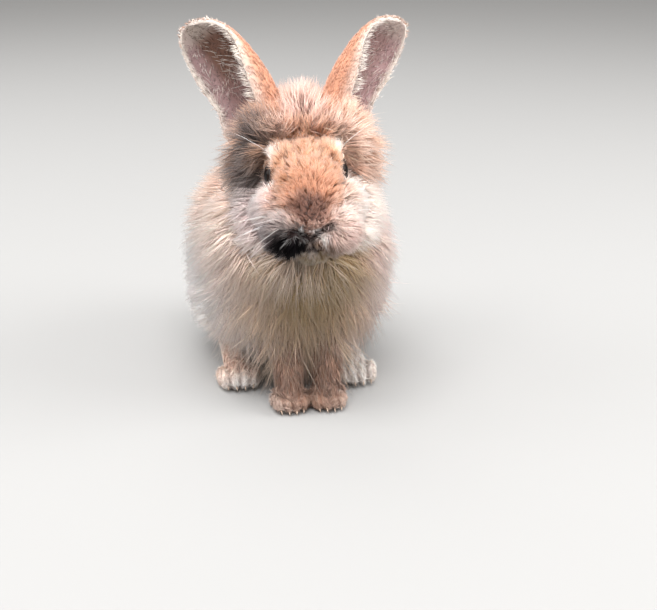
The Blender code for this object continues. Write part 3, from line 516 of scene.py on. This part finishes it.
# The eyes: dark wet balls, near black, with a wide pupil in a deep brown iris and a clear bulge in
# front. They sit in the sockets, and a thin ring of bare dark lid is drawn round each opening.
PUPIL, IRIS_EDGE = math.radians(20.0), math.radians(40.0)
EYE_BULGE, LID_HALF = 0.035, 0.0005
EYE_BLACK, IRIS_BROWN, EYE_EDGE, LID_BARE = dye(9, 6, 6), dye(30, 18, 12), dye(18, 14, 14), dye(36, 25, 23)
eye_wet = dyed("wet_eye", 1400.0, 0.85, 1.15,
               {"Roughness": 0.10, "Specular IOR Level": 0.06,
                "Coat Weight": 0.12, "Coat IOR": 1.3, "Coat Roughness": 0.03})
lid_skin = dyed("lid_rim", 2200.0, 0.7, 1.2, {"Roughness": 0.45, "Specular IOR Level": 0.5})
for name, side in (("left", 1), ("right", -1)):
    aim = mirrored(EYE_GAZE, side).to_track_quat("Z", "Y").to_matrix().to_4x4()
    seat = HEAD @ Matrix.Translation(mirrored(EYE_CENTRE, side)) @ aim
    bm = bmesh.new()
    bmesh.ops.create_uvsphere(bm, u_segments=48, v_segments=40, radius=EYE_RADIUS)
    angles = []
    for vert in bm.verts:
        angle = vert.co.angle(Vector((0.0, 0.0, 1.0)))
        vert.co *= 1.0 + EYE_BULGE * max(0.0, 1.0 - (angle / IRIS_EDGE) ** 2)
        angles.append(angle)
    bmesh.ops.transform(bm, matrix=seat, verts=bm.verts)
    eye = new_piece(f"eye_ball_{name}", bm)
    angles = np.array(angles)
    colours = np.tile(EYE_BLACK, (len(angles), 1))
    iris = step(angles, PUPIL * 0.9, PUPIL * 1.1) * step(-angles, -IRIS_EDGE, -IRIS_EDGE * 0.8)
    colours = mixed(colours, iris, IRIS_BROWN)
    colours = mixed(colours, step(angles, IRIS_EDGE, IRIS_EDGE * 1.2), EYE_EDGE)
    write_colours(eye.data, colours)
    eye.data.shade_smooth()
    eye_wet.on(eye, slot="eye_brown")
    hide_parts(f"eye_{name}")
    bm = bmesh.new()
    ring = bmesh.ops.create_circle(bm, segments=8, radius=LID_HALF)["verts"]
    reach = EYE_RADIUS + LID_HALF * 0.6
    edge = Matrix.Translation((reach * math.sin(EYE_OPENING), 0.0, reach * math.cos(EYE_OPENING)))
    bmesh.ops.transform(bm, matrix=edge @ Matrix.Rotation(math.pi / 2, 4, "X"), verts=ring)
    bmesh.ops.spin(bm, geom=bm.edges[:], cent=(0, 0, 0), axis=(0, 0, 1), angle=math.tau, steps=36,
                   use_merge=True)
    bmesh.ops.recalc_face_normals(bm, faces=bm.faces)
    bmesh.ops.transform(bm, matrix=seat, verts=bm.verts)
    lids = new_piece(f"lids_{name}", bm)
    write_colours(lids.data, np.tile(LID_BARE, (len(lids.data.vertices), 1)))
    lids.data.shade_smooth()
    lid_skin.on(lids, slot="coat_tan")


# The ears: leaf-shaped cups of thin gristle in downy skin, rolled round at the foot, which
# is sunk in the fur of the head. They open forward and outward, and have thick cream margins.
EAR_LENGTH = {"left": 0.0755, "right": 0.0790}
EAR_WIDTH, EAR_WALL, EAR_LEAN_BACK = 0.052, 0.0020, 0.006
EAR_DEPTH = 0.56  # of a round cup
EAR_BASE = Vector((0.0185, 0.026, 0.025))
EAR_AXES = {1: Vector((0.715, 0.10, 0.80)), -1: Vector((-0.585, 0.10, 0.80))}
EAR_FACING = {1: math.radians(42.0), -1: math.radians(30.0)}
EAR_FOOT_WIDTH, EAR_WIDEST = 0.66, 0.50
EAR_WRAPS = {1: (160.0, 136.0, 60.0), -1: (120.0, 54.0, 42.0)}  # inner and outer margin, from foot to tip
# The cup's inner pink and brown are dyed darker than its own colours, partly as painted shade.
EAR_BACK, EAR_MARGIN, EAR_INNER_AND_SHADE = dye(206, 150, 122), dye(240, 228, 218), dye(184, 152, 152)
EAR_SHADOW, EAR_BROWN_AND_SHADE, EAR_TIP = dye(118, 84, 76), dye(112, 80, 66), dye(196, 166, 146)


def ear_half_width(share):
    if share < EAR_WIDEST:
        across = EAR_FOOT_WIDTH + (1.0 - EAR_FOOT_WIDTH) * math.sin(share / EAR_WIDEST * math.pi / 2)
    else:
        across = max(0.12, (1.0 - ((share - EAR_WIDEST) / (1.0 - EAR_WIDEST)) ** 3.0) ** 0.52)
    return EAR_WIDTH * across / 2


def ear_wrap(share, turn):
    """How far each margin is rolled forward, in radians."""
    foot, middle, tip = EAR_WRAPS[1 if turn > 0 else -1]
    if share < 0.35:
        return math.radians(foot + (middle - foot) * share / 0.35)
    return math.radians(middle + (tip - middle) * ((share - 0.35) / 0.65) ** 1.3)


def ear_frame(side):
    """The ear's own directions: up its length, out of its hollow, and across."""
    up = EAR_AXES[side].normalized()
    facing = Vector((math.sin(EAR_FACING[side]) * side, -math.cos(EAR_FACING[side]), 0.0))
    out = (facing - up * facing.dot(up)).normalized()
    return up, out, out.cross(up) * side


def ear_point(name, side, share, turn):
    up, out, across = ear_frame(side)
    half = ear_half_width(share)
    spine = mirrored(EAR_BASE, side) + up * EAR_LENGTH[name] * share
    spine -= out * (EAR_LEAN_BACK * math.sin(share * math.pi / 2) + half * 0.4)
    angle = ear_wrap(share, turn) * turn
    return spine + (across * math.sin(angle) + out * (1 - math.cos(angle)) * EAR_DEPTH) * half


def ear_colours(points, share, turn, inner, side):
    """Orange down on the back; pinkish brown, with pale margins, inside the cup, partly painted shade."""
    back = np.tile(EAR_BACK, (len(points), 1))
    back = mixed(back, step(share, 0.75, 1.0) * 0.5, EAR_TIP)
    back = mixed(back, step(np.abs(turn), 0.80, 1.0) * 0.6, EAR_MARGIN)
    # The right ear's cup is 0.80 as bright all over, painted shade, and browner in its hollow.
    shade, brown = (0.80, 0.95) if side < 0 else (1.0, 0.45)
    cup = np.tile(EAR_INNER_AND_SHADE * shade, (len(points), 1))
    hollow = step(-np.abs(turn - 0.15), -0.75, -0.25) * step(share, 0.36, 0.58)
    cup = mixed(cup, hollow * brown, EAR_BROWN_AND_SHADE)
    at_foot = patch(np.stack([share, turn], axis=1), (0.36, -0.1), (0.16, 0.40), 0.6)
    cup = mixed(cup, at_foot * 0.6, EAR_SHADOW)
    cup = mixed(cup, step(share, 0.80, 0.97) * 0.6, EAR_MARGIN)
    cup = mixed(cup, step(np.abs(turn), 0.74, 0.96) * (0.55 + 0.45 * step(share, 0.15, 0.45)), EAR_MARGIN)
    return (back + (cup - back) * inner[:, None]) * (1.0 + 0.08 * ripple(points, 0.008, 21))[:, None]


ear_down = dyed("ear_down", 1500.0, 0.82, 1.12, {"Roughness": 0.8, "Specular IOR Level": 0.25})
add_nap(ear_down, 2400.0, 3.0, 0.4, 0.0003)
EAR_ROWS = 30
levels = np.linspace(0, 1, EAR_ROWS + 1)
ears = {}
for name, side in (("left", 1), ("right", -1)):
    bm = bmesh.new()
    bmesh.ops.create_grid(bm, x_segments=20, y_segments=EAR_ROWS, size=1.0, calc_uvs=False)
    unwrap = bm.loops.layers.uv.new("OFBake")
    rows = bm.verts.layers.float.new("Share")
    turns = bm.verts.layers.float.new("Turn")
    for square in bm.faces:
        for loop in square.loops:
            loop[unwrap].uv = (0.25 + 0.22 * loop.vert.co.x, 0.5 + 0.45 * loop.vert.co.y)
    for vert in bm.verts:
        vert[rows], vert[turns] = (vert.co.y + 1) / 2, vert.co.x
        vert.co = HEAD @ ear_point(name, side, vert[rows], vert[turns])
    bmesh.ops.recalc_face_normals(bm, faces=bm.faces)
    ear = new_piece(f"ear_cup_{name}", bm)
    wall = ear.modifiers.new("wall", "SOLIDIFY")
    wall.thickness = EAR_WALL
    wall.offset = 0.0
    rounding = ear.modifiers.new("rounding", "SUBSURF")
    rounding.levels = rounding.render_levels = 1
    apply_modifiers(ear)
    up, out, across = (np.array(HEAD.to_3x3() @ way) for way in ear_frame(side))
    points, normals = (read(ear.data.vertices, value, 3) for value in ("co", "normal"))
    share, turn = (read(ear.data.attributes[value].data, "value")[:, 0] for value in ("Share", "Turn"))
    middle = np.array([HEAD @ ear_point(name, side, level, 0.0) for level in levels])
    middle += out * np.array([min(ear_half_width(level), 0.012) for level in levels])[:, None]
    to_middle = middle[np.clip((share * EAR_ROWS).round().astype(int), 0, EAR_ROWS)] - points
    inner = (np.einsum("ij,ij->i", normals, to_middle) > 0).astype(float)
    # The ear's skin is 0.93 as bright as its colours: painted shade under the down.
    write_colours(ear.data, ear_colours(points, share, turn, inner, side) * 0.93)
    ear.data.shade_smooth()
    ear_down.on(ear, slot="coat_rust")
    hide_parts(f"ear_{name}")
    ears[name] = (ear, share, turn, inner, up, out, across)


# The coat of the head: short and flat on the nose and brow, longer on the cheeks and temples, and
# a standing tuft of pale hair between the ears. Each tuft is a closed, tapered, three-sided strand
# that is rooted in the hide, leans along the lie and is drawn to its neighbours in a loose lock.
def scattered(obj, count, weight, seed):
    """Random roots on a piece: places, normals, places on its unwrap, triangles' corners, shares."""
    mesh = obj.data
    mesh.calc_loop_triangles()
    corners, loops = (read(mesh.loop_triangles, value, 3, int) for value in ("vertices", "loops"))
    points, normals = (read(mesh.vertices, value, 3) for value in ("co", "normal"))
    unwrap = read(mesh.uv_layers["OFBake"].uv, "vector", 2)
    a, b, c = (points[corners[:, corner]] for corner in range(3))
    area = np.linalg.norm(np.cross(b - a, c - a), axis=1) / 2
    chance = area * weight[corners].mean(axis=1)
    draw = np.random.default_rng(seed)
    picked = draw.choice(len(corners), count, p=chance / chance.sum())
    shares = draw.dirichlet((1.0, 1.0, 1.0), count)[:, :, None]
    chosen = corners[picked]
    return ((points[chosen] * shares).sum(axis=1), unit((normals[chosen] * shares).sum(axis=1)),
            (unwrap[loops[picked]] * shares).sum(axis=1), chosen, shares[:, :, 0])


def unit(vectors):
    return vectors / np.maximum(np.linalg.norm(vectors, axis=1), 1e-9)[:, None]


def along_skin(ways, normals):
    return unit(ways - normals * np.einsum("ij,ij->i", ways, normals)[:, None])


TIP_PATCH = 0.0015  # half the side of a tuft's place on the unwrap
DOWN = np.array((0.0, 0.0, -1.0))
WIDTHS, THICKNESSES = (0.75, 1.0, 0.72), (0.5, 0.55, 0.4)  # at a tuft's stations, of its width
ROOT_SUNK, FLOOR_GAP, TO_A_LOCK = 0.0006, 0.0012, 14


def grow(name, roots, normals, ways, colours, unwrap, length, width, lift, seed, press=0.12,
         droop=0.0, stray=0.22, lock=0.0030, drawn=0.22, stations=(0.0, 0.45), root_shade=0.74,
         tip_pale=0.14, uneven=0.075):
    """One piece of coat: a strand at each root, in one joined mesh with its dyes, painted root shade and bake
    places.
    """
    draw = np.random.default_rng(seed)
    count = len(roots)
    led = draw.permutation(count)[:max(6, count // TO_A_LOCK)]
    tree = kdtree.KDTree(len(led))
    for index, root in enumerate(roots[led]):
        tree.insert(root, index)
    tree.balance()
    group = np.array([tree.find(root)[1] for root in roots])
    leader = led[group]
    together = draw.normal(size=(len(led), 3))[group] * stray
    ways = along_skin(ways + together + 0.6 * stray * draw.normal(size=(count, 3)), normals)
    length = length * draw.uniform(0.72, 1.12, count)
    lift = lift * draw.uniform(0.70, 1.25, count)
    forward = ways * np.cos(lift)[:, None] + normals * np.sin(lift)[:, None]
    bend = DOWN * droop - normals * press + ways * 0.05 * draw.normal(size=(count, 1))
    tips = roots + length[:, None] * (forward + bend)
    pull = tips[leader] - tips
    pull *= np.minimum(1.0, lock / np.maximum(np.linalg.norm(pull, axis=1), 1e-9))[:, None]
    width = width * draw.uniform(0.8, 1.25, count)

    def spine(share):
        middle = roots - normals * ROOT_SUNK * (share == 0)
        middle = middle + length[:, None] * (forward * share + bend * share ** 2)
        middle = middle + pull * drawn * share ** 1.5
        middle[:, 2] = np.maximum(middle[:, 2], FLOOR_GAP)
        return middle

    rings = []
    for share, wide, thick in zip(stations, WIDTHS, THICKNESSES):
        middle, heading = spine(share), unit(forward + 2 * bend * share)
        across = unit(np.cross(normals, heading))
        half = (across.T * width * wide / 2).T
        over = (np.cross(heading, across).T * width * thick).T
        rings += [middle - half, middle + half, middle + over]
    corners = np.stack([*rings, spine(1.0)], axis=1)
    shares = np.append(np.repeat(stations, 3), 1.0)[None, :, None]
    per = corners.shape[1]
    last = len(stations) - 1
    faces = [(0, 2, 1)]
    for ring in range(last):
        for corner in range(3):
            here, beside = ring * 3 + corner, ring * 3 + (corner + 1) % 3
            faces += [(here, beside, beside + 3), (here, beside + 3, here + 3)]
    faces += [(last * 3 + corner, last * 3 + (corner + 1) % 3, per - 1) for corner in range(3)]
    loops = (np.array(faces)[None] + np.arange(count)[:, None, None] * per).reshape(-1)
    mesh = bpy.data.meshes.new(name)
    mesh.vertices.add(count * per)
    mesh.vertices.foreach_set("co", corners.ravel())
    mesh.loops.add(len(loops))
    mesh.loops.foreach_set("vertex_index", loops.astype(np.int32))
    mesh.polygons.add(len(loops) // 3)
    mesh.polygons.foreach_set("loop_start", np.arange(0, len(loops), 3, dtype=np.int32))
    tint = colours * draw.normal(1.0, uneven, (count, 1)) * (1.0 + draw.normal(0.0, 0.02, (count, 3)))
    tint = tint * draw.normal(1.0, uneven, (len(led), 1))[group]
    # Each strand darkens towards its root by root_shade, painted shade deep in the coat; its tip is paler by
    # tip_pale.
    shade = tint[:, None] * (root_shade + (1.0 - root_shade) * np.minimum(1.0, shares * 1.6))
    light = np.minimum(1.0, 1.8 * tint.mean(axis=1))[:, None, None]
    shade = shade + (1.0 - shade) * tip_pale * shares ** 2 * light
    write_colours(mesh, np.clip(shade, 0.0, 1.0).reshape(-1, 3))
    inside = np.stack([np.tile((-1.0, 1.0, 0.0), len(stations)), 2 * shares[0, :-1, 0] - 1], axis=1)
    inside = np.concatenate([inside, [(0.0, 1.0)]]) * TIP_PATCH
    places = (unwrap[:, None] + inside[None]).reshape(-1, 2)
    mesh.uv_layers.new(name="OFBake").uv.foreach_set("vector", places[loops].astype(np.float32).ravel())
    mesh.update(calc_edges=True)
    mesh.shade_smooth()
    return placed(name, mesh)


hair = dyed("rabbit_hair", 700.0, 0.90, 1.08,
            {"Roughness": 0.62, "Specular IOR Level": 0.22, "Sheen Weight": 0.22, "Sheen Roughness": 0.5})
# The dull dark finish also takes the strands darkened as painted shade along the clefts.
dark_hair = dyed("dark_hair", 700.0, 0.90, 1.08,  # the black lip's, which shines less
                 {"Roughness": 0.70, "Specular IOR Level": 0.08})
kinds, centres, depths = (np.array([mass[part] for mass in MASSES]) for part in (0, 1, 4))
inverses = [np.array(turn.inverted().to_3x3()) / np.array(radii)[:, None]
            for kind, centre, radii, turn, coat in MASSES]


def coat_on(points):
    """How deep the coat is over each point, and the kind of mass that the point is on."""
    reach = np.stack([np.linalg.norm((points - centre) @ inverse.T, axis=1)
                      for centre, inverse in zip(centres, inverses)])
    nearness = np.exp(-10.0 * (reach - reach.min(axis=0)))
    return (nearness * depths[:, None]).sum(axis=0) / nearness.sum(axis=0), kinds[reach.argmin(axis=0)]


def lie(points):
    """The way the hair lies: off the nose, up the brow and crown, down the chest, back on the body."""
    face = in_head(points)
    outward = np.clip(face[:, 0] / 0.02, -1.0, 1.0)
    one = np.ones(len(points))
    swirl = ripple(points, 0.016, 31)
    cheek = np.stack([0.8 * outward, 0.60 * one, -0.50 * one], axis=1)
    rise = 0.65 + 0.3 * ripple(points, 0.013, 32)
    brow = np.stack([0.55 * outward + 0.5 * swirl, 0.9 * one, rise], axis=1)
    crown = np.stack([0.7 * outward, np.clip(25.0 * (face[:, 1] - 0.016), -0.6, 0.9), 0.9 * one], axis=1)
    high = step(face[:, 2], -0.008, 0.006) * (1.0 - step(np.abs(face[:, 0]), 0.016, 0.026))
    way = cheek + (brow - cheek) * high[:, None]
    from_philtrum = face[:, 0] + 0.0012
    cleft_rise = np.where(from_philtrum > 0, 0.74, -0.575) * from_philtrum
    over_lip = step(face[:, 2] + 0.0205 - cleft_rise, -0.0003, 0.0007)
    on_nose = over_lip * step(-face[:, 1], 0.029, 0.036) * (1.0 - step(face[:, 2], 0.000, 0.012))
    way += (np.stack([0.45 * outward, 0.4 * one, 0.85 * one], axis=1) - way) * on_nose[:, None]
    way += (crown - way) * (step(face[:, 2], 0.022, 0.030) * step(-face[:, 1], -0.040, -0.030))[:, None]
    way = way @ np.array(HEAD_ROTATION.to_3x3()).T
    spot = points - np.array(SHIFT)
    back = step(spot[:, 1], 0.005, 0.085)
    rump = step(spot[:, 1], 0.110, 0.165)
    body = np.stack([6.0 * spot[:, 0], 0.1 + 0.9 * back - 0.4 * rump, -1.0 + 0.6 * back - 0.6 * rump], axis=1)
    return unit(mixed(body, head_share(face), way))


CLEFT_BARE, LID_BARE_RIM, SHORT = 0.0007, 0.07, 0.0075  # SHORT parts the face's coat from the cheeks'
skin_depth, skin_kind = coat_on(spots)
bare = from_cleft < CLEFT_BARE
for side in (1, -1):
    centre, away, far, angle = about_eye(spots, side)
    bare = bare | (angle < EYE_OPENING + LID_BARE_RIM) & (far < 0.014)
growing = (1.0 - bare) * (between_toes(spots) < 0.5)


def from_eyes(roots, normals, ways):
    """Turns the hair round each eye away from it, and says how near the eye each root is."""
    near = np.zeros(len(roots))
    for side in (1, -1):
        centre = np.array(HEAD @ mirrored(EYE_CENTRE + EYE_GAZE * 0.007, side))
        away = roots - centre
        close = 1.0 - step(np.linalg.norm(away, axis=1), 0.006, 0.013)
        ways = ways + (along_skin(away, normals) * 1.6 - ways) * close[:, None]
        near = np.maximum(near, close)
    return ways, near


def strand_length(depth):
    return 0.0022 + 1.36 * depth


def strand_width(depth):
    return 0.00024 + 0.0105 * depth


of_head = skin_kind == "head"
room = strand_length(skin_depth) * strand_width(skin_depth)  # that a strand takes up
for piece, count, where, seed, stray, lock, root_shade in (
        ("coat_face", 21000, of_head & (skin_depth < SHORT), 101, 0.30, 0.0025, 0.86),
        ("coat_cheeks", 22000, of_head & (skin_depth >= SHORT), 102, 0.28, 0.005, 0.74)):
    roots, normals, unwrap, chosen, shares = scattered(skin, count, growing * where / room, seed)
    depth = coat_on(roots)[0]
    ways, near = from_eyes(roots, normals, lie(roots))
    standing = step(in_head(roots)[:, 2], 0.024, 0.034)
    lift = np.radians(36.0) + np.radians(16.0) * standing - np.radians(10.0) * near
    gap = (from_cleft[chosen] * shares).sum(axis=1)
    length = strand_length(depth) * (1.0 - 0.45 * near) * (1.0 - 0.55 * (1.0 - step(gap, 0.0008, 0.0060)))
    width = strand_width(depth) * (1.0 - 0.2 * near)
    # Strands by the clefts of the nose and mouth are darkened: painted shade.
    colours = mixed(marking_and_shade(roots), (1.0 - step(gap, 0.0010, 0.0024)) * 0.8, CLEFT_SHADE)
    left, dark = roots[:, 0] > head_centre.x, (colours.mean(axis=1) < 0.06) & (piece == "coat_face")
    for half, own in (("left", left & ~dark), ("right", ~left & ~dark), ("lip", dark)):
        if not own.any():
            continue
        coat = grow(f"{piece}_{half}", roots[own], normals[own], ways[own], colours[own], unwrap[own],
                    length[own], width[own], lift[own], seed, droop=0.05, stray=stray, lock=lock,
                    drawn=0.5, root_shade=root_shade, uneven=0.30 if half == "lip" else 0.085)
        (dark_hair if half == "lip" else hair).on(coat, slot="coat_tan")


# The coat of the body: long and soft, down the chest and back along the flanks, fullest on the
# chest and rump. It is grown region by region, so that each piece stays light.
BODY_STRANDS, CHEST_BEFORE, RUMP_BEHIND, BELLY_BELOW, BACK_ABOVE = 69000, 0.040, 0.115, 0.045, 0.098
x, y, z = (spots - np.array(SHIFT)).T
fullness = 1.0 + 1.5 * (1.0 - step(y, 0.030, 0.070)) - 0.7 * (1.0 - step(z, 0.022, 0.050))
weight = growing * (skin_kind == "body") * fullness / room
roots, normals, unwrap, chosen, shares = scattered(skin, BODY_STRANDS, weight, 201)
depth = coat_on(roots)[0]
x, y, z = (roots - np.array(SHIFT)).T
regions = np.select([(y < CHEST_BEFORE) & (x > 0), y < CHEST_BEFORE, z < BELLY_BELOW,
                     (y > RUMP_BEHIND) & (x > 0), y > RUMP_BEHIND, z > BACK_ABOVE, x > 0], range(7), 7)
low_chest = (1.0 - step(y, 0.020, 0.045)) * (1.0 - step(z, 0.050, 0.085))
length = strand_length(depth) * (1.0 + low_chest)
width = strand_width(depth) * (1.0 + 0.30 * step(y, 0.040, 0.080))
for region, (piece, slot) in enumerate((
        ("coat_chest_left", "coat_cream"), ("coat_chest_right", "coat_cream"), ("coat_belly", "coat_cream"),
        ("coat_rump_left", "coat_tan"), ("coat_rump_right", "coat_tan"), ("coat_back", "coat_tan"),
        ("coat_side_left", "coat_tan"), ("coat_side_right", "coat_tan"))):
    own = regions == region
    coat = grow(piece, roots[own], normals[own], lie(roots[own]), marking_and_shade(roots[own]), unwrap[own],
                length[own], width[own], np.radians(30.0), 210 + region,
                droop=0.10 + 0.25 * low_chest[own, None], lock=0.006, drawn=0.4,
                stray=0.30 if region < 3 else 0.20, root_shade=0.84)
    hair.on(coat, slot=slot)


# The coat of the legs, feet and tail: short and close on the legs, shortest over the toes, and a
# fluffy scut that is white below.
DOWN_LEG, ALONG_FOOT, OVER_TOES = np.array(((0.0, -0.15, -1.0), (0.0, -1.0, -0.25), (0.0, -1.0, -0.1)))
for piece, count, where, broad, lift, seed, lock, slot in (
        ("coat_legs", 12000, np.isin(skin_kind, list(LIMBS)), 1.35, 20.0, 301, 0.0015, "coat_rust"),
        ("coat_toes", 7000, skin_kind == "toe", 1.0, 18.0, 302, 0.0015, "coat_cream"),
        ("coat_tail", 3800, skin_kind == "tail", 1.0, 30.0, 303, 0.004, "coat_cream")):
    weight = growing * where * (spots[:, 2] > 0.0016)
    weight = weight / (strand_length(skin_depth) * (strand_width(skin_depth) * broad))
    roots, normals, unwrap, chosen, shares = scattered(skin, count, weight, seed)
    depth, own_kind = coat_on(roots)
    x, y, z = (roots - np.array(SHIFT)).T
    if piece == "coat_tail":
        ways = np.stack([6 * x, 0.5 + 0 * x, 0.6 + 0 * x], axis=1)
    else:
        fore = (own_kind == "foreleg")[:, None]
        ways = mixed(fore * DOWN_LEG + (1 - fore) * ALONG_FOOT, 1.0 - step(z, 0.010, 0.020), OVER_TOES)
    coat = grow(piece, roots, normals, along_skin(ways, normals), marking_and_shade(roots), unwrap,
                strand_length(depth), strand_width(depth) * broad, np.radians(lift), seed, lock=lock)
    hair.on(coat, slot=slot)


# The hair of the ears: a close down on the backs, fine down in the cups, and a white fringe that
# springs from both margins, longest near the foot.
for name, side in (("left", 1), ("right", -1)):
    ear, share, turn, inner, up, out, across = ears[name]
    at_margin = 0.12 + step(turn, 0.50, 0.85) + 0.3 * step(-turn, 0.60, 0.9)
    for piece, count, weight, seed in (
            (f"coat_ear_{name}", 5200, np.where(inner > 0.5, 0.45, 1.0), 401),
            (f"fringe_ear_{name}", 950,
             inner * at_margin * (0.35 + np.exp(-((share - 0.52) / 0.25) ** 2)), 402)):
        roots, normals, unwrap, chosen, shares = scattered(ear, count, weight, seed + (side > 0) * 10)
        at, about, inward = ((values[chosen] * shares).sum(axis=1) for values in (share, turn, inner))
        colours = ear_colours(roots, at, about, (inward > 0.5).astype(float), side)
        if piece.startswith("fringe"):
            colours = mixed(colours, 0.30 + 0.50 * step(at, 0.25, 0.60), EAR_MARGIN)
            ways = up * 0.7 - np.sign(about)[:, None] * across * 0.5 + out * 0.5
            length = 0.0040 + 0.0070 * (1 - at)
            coat = grow(piece, roots, normals, ways, colours, unwrap, length, 0.00030, np.radians(38.0), seed,
                        stray=0.25, root_shade=0.85)
        else:
            ways = np.tile(up, (len(roots), 1)) + 0.25 * (across * about[:, None])
            length = np.where(inward > 0.5, 0.0030, 0.0042) * (1.0 + 0.8 * step(-at, -0.3, 0.0))
            coat = grow(piece, roots, normals, ways, colours, unwrap, length, 0.00034, np.radians(16.0), seed,
                        stray=0.20, lock=0.001, root_shade=0.80, tip_pale=0.10)
        hair.on(coat, slot="coat_rust")


# The whiskers: a few long, fine, pale bristles from each whisker pad, and one over each eye.
# Each is rooted in the hide, and droops a little under its own weight.
WHISKERS, WHISKER_LENGTH, WHISKER_WIDTH = 7, 0.034, 0.00026
whisker = dyed("whisker", 900.0, 0.9, 1.1, {"Roughness": 0.35})
starts, heads = [], []
for side in (1, -1):
    for number in range(WHISKERS):
        row, place = divmod(number, 3)
        start = (0.0128 + 0.0022 * place, -0.0325 + 0.0030 * place, -0.0080 - 0.0032 * row)
        starts.append(mirrored(start, side))
        heads.append(mirrored((1.0, -0.15 + 0.28 * place, 0.10 - 0.28 * row), side))
    starts.append(mirrored((0.0170, -0.0060, 0.0200), side))
    heads.append(mirrored((0.75, -0.25, 0.75), side))
starts = np.array([HEAD @ start for start in starts])
heads = np.array([HEAD_ROTATION.to_3x3() @ head for head in heads])
total = len(starts)
bristles = grow("whiskers", starts, unit(heads), unit(np.cross(heads, DOWN)), np.tile(WHITE, (total, 1)),
                np.full((total, 2), 0.02), np.full(total, WHISKER_LENGTH), WHISKER_WIDTH, np.radians(84.0),
                501, press=0.0, droop=0.16, stray=0.0, drawn=0.0, stations=(0.0, 0.34, 0.70),
                root_shade=0.8)
whisker.on(bristles, slot="coat_cream")


# The claws: short curved cones of pale brown horn, one at the end of each toe, mostly in the fur.
# Each is split across its middle and bent down there, and its foot is sunk in the toe.
CLAW_LENGTH, CLAW_RADIUS, CLAW_POINT, CLAW_CURVE = 0.0050, 0.0010, 0.0001, 0.0018
CLAW_BROWN = dye(196, 170, 148)
horn = dyed("claw_horn", 1800.0, 0.8, 1.1, {"Roughness": 0.3, "Specular IOR Level": 0.6})
for name, pair in FEET.items():
    for limb, spread, forward, toes in pair:
        bm = bmesh.new()
        bent = []
        for centre, turn, radii in toe_places(spread, forward, toes):
            cone = bmesh.ops.create_cone(bm, cap_ends=True, segments=8, radius1=CLAW_RADIUS,
                                         radius2=CLAW_POINT, depth=CLAW_LENGTH)["verts"]
            edges = {edge for vert in cone for edge in vert.link_edges}
            sheets = {sheet for vert in cone for sheet in vert.link_faces}
            bmesh.ops.bisect_plane(bm, geom=[*edges, *sheets, *cone], plane_co=(0, 0, 0.0005),
                                   plane_no=(0, 0, 1))
            own = [vert for vert in bm.verts if vert not in bent]
            for vert in own:
                along = vert.co.z / CLAW_LENGTH + 0.5
                vert.co = Vector((vert.co.x * 0.8, -vert.co.z, vert.co.y - CLAW_CURVE * along ** 2))
            toe_end = centre + turn @ Vector((0.0, -radii[1] - 0.0002, -0.0012))
            bmesh.ops.transform(bm, matrix=Matrix.Translation(toe_end) @ turn, verts=own)
            for vert in own:
                vert.co.z = max(vert.co.z, 0.0004)
            bent += own
        bmesh.ops.recalc_face_normals(bm, faces=bm.faces)
        claws = new_piece(f"claws_{limb[:4]}_{name}", bm)
        write_colours(claws.data, np.tile(CLAW_BROWN, (len(claws.data.vertices), 1)))
        claws.data.shade_smooth()
        horn.on(claws, slot="coat_cream")


# The studio: a plain pale floor, a large soft light overhead and in front, weaker ones at both
# sides and behind, a pale surround, and the camera where the photograph was taken from.
AZIMUTH, ELEVATION, DISTANCE, LENS = math.radians(-10.0), math.radians(20.0), 0.70, 66.5
AIM = Vector((0.0096, -0.090, 0.0685))
LIGHTS = {  # place, size, power
    "key": ((-0.25, -0.70, 1.75), 1.4, 52.0),
    "left": ((-1.4, 0.2, 0.8), 1.2, 14.0),
    "right": ((1.4, -0.4, 0.8), 1.2, 28.0),
    "back": ((-0.2, 1.0, 1.4), 1.2, 9.0),
}


def aimed(away):
    """The place and turn of a lamp or camera that looks at AIM from some way away."""
    return Matrix.Translation(AIM + away) @ away.to_track_quat("Z", "Y").to_matrix().to_4x4()


bm = bmesh.new()
bmesh.ops.create_circle(bm, cap_ends=True, segments=64, radius=6.0)
floor = new_piece("floor", bm)
paper = Finish("pale_paper", {"Roughness": 0.9})
paper.into("Base Color", (0.33, 0.327, 0.323, 1.0))
floor.data.materials.append(paper.material)
for name, (place, size, power) in LIGHTS.items():
    light = bpy.data.lights.new(name, "AREA")
    light.size, light.energy = size, power
    placed(name, light).matrix_world = aimed(Vector(place) - AIM)
world = bpy.data.worlds.new("surround")
world.use_nodes = True
surround = world.node_tree.nodes["Background"].inputs
surround["Color"].default_value = (1.0, 0.98, 0.96, 1.0)
surround["Strength"].default_value = 0.66
bpy.context.scene.world = world
camera = placed("camera", bpy.data.cameras.new("camera"))
camera.data.lens = LENS
away = Vector((math.sin(AZIMUTH) * math.cos(ELEVATION), -math.cos(AZIMUTH) * math.cos(ELEVATION),
               math.sin(ELEVATION)))
camera.matrix_world = aimed(away * DISTANCE)
bpy.context.scene.camera = camera
bpy.context.scene.view_settings.view_transform = "Standard"
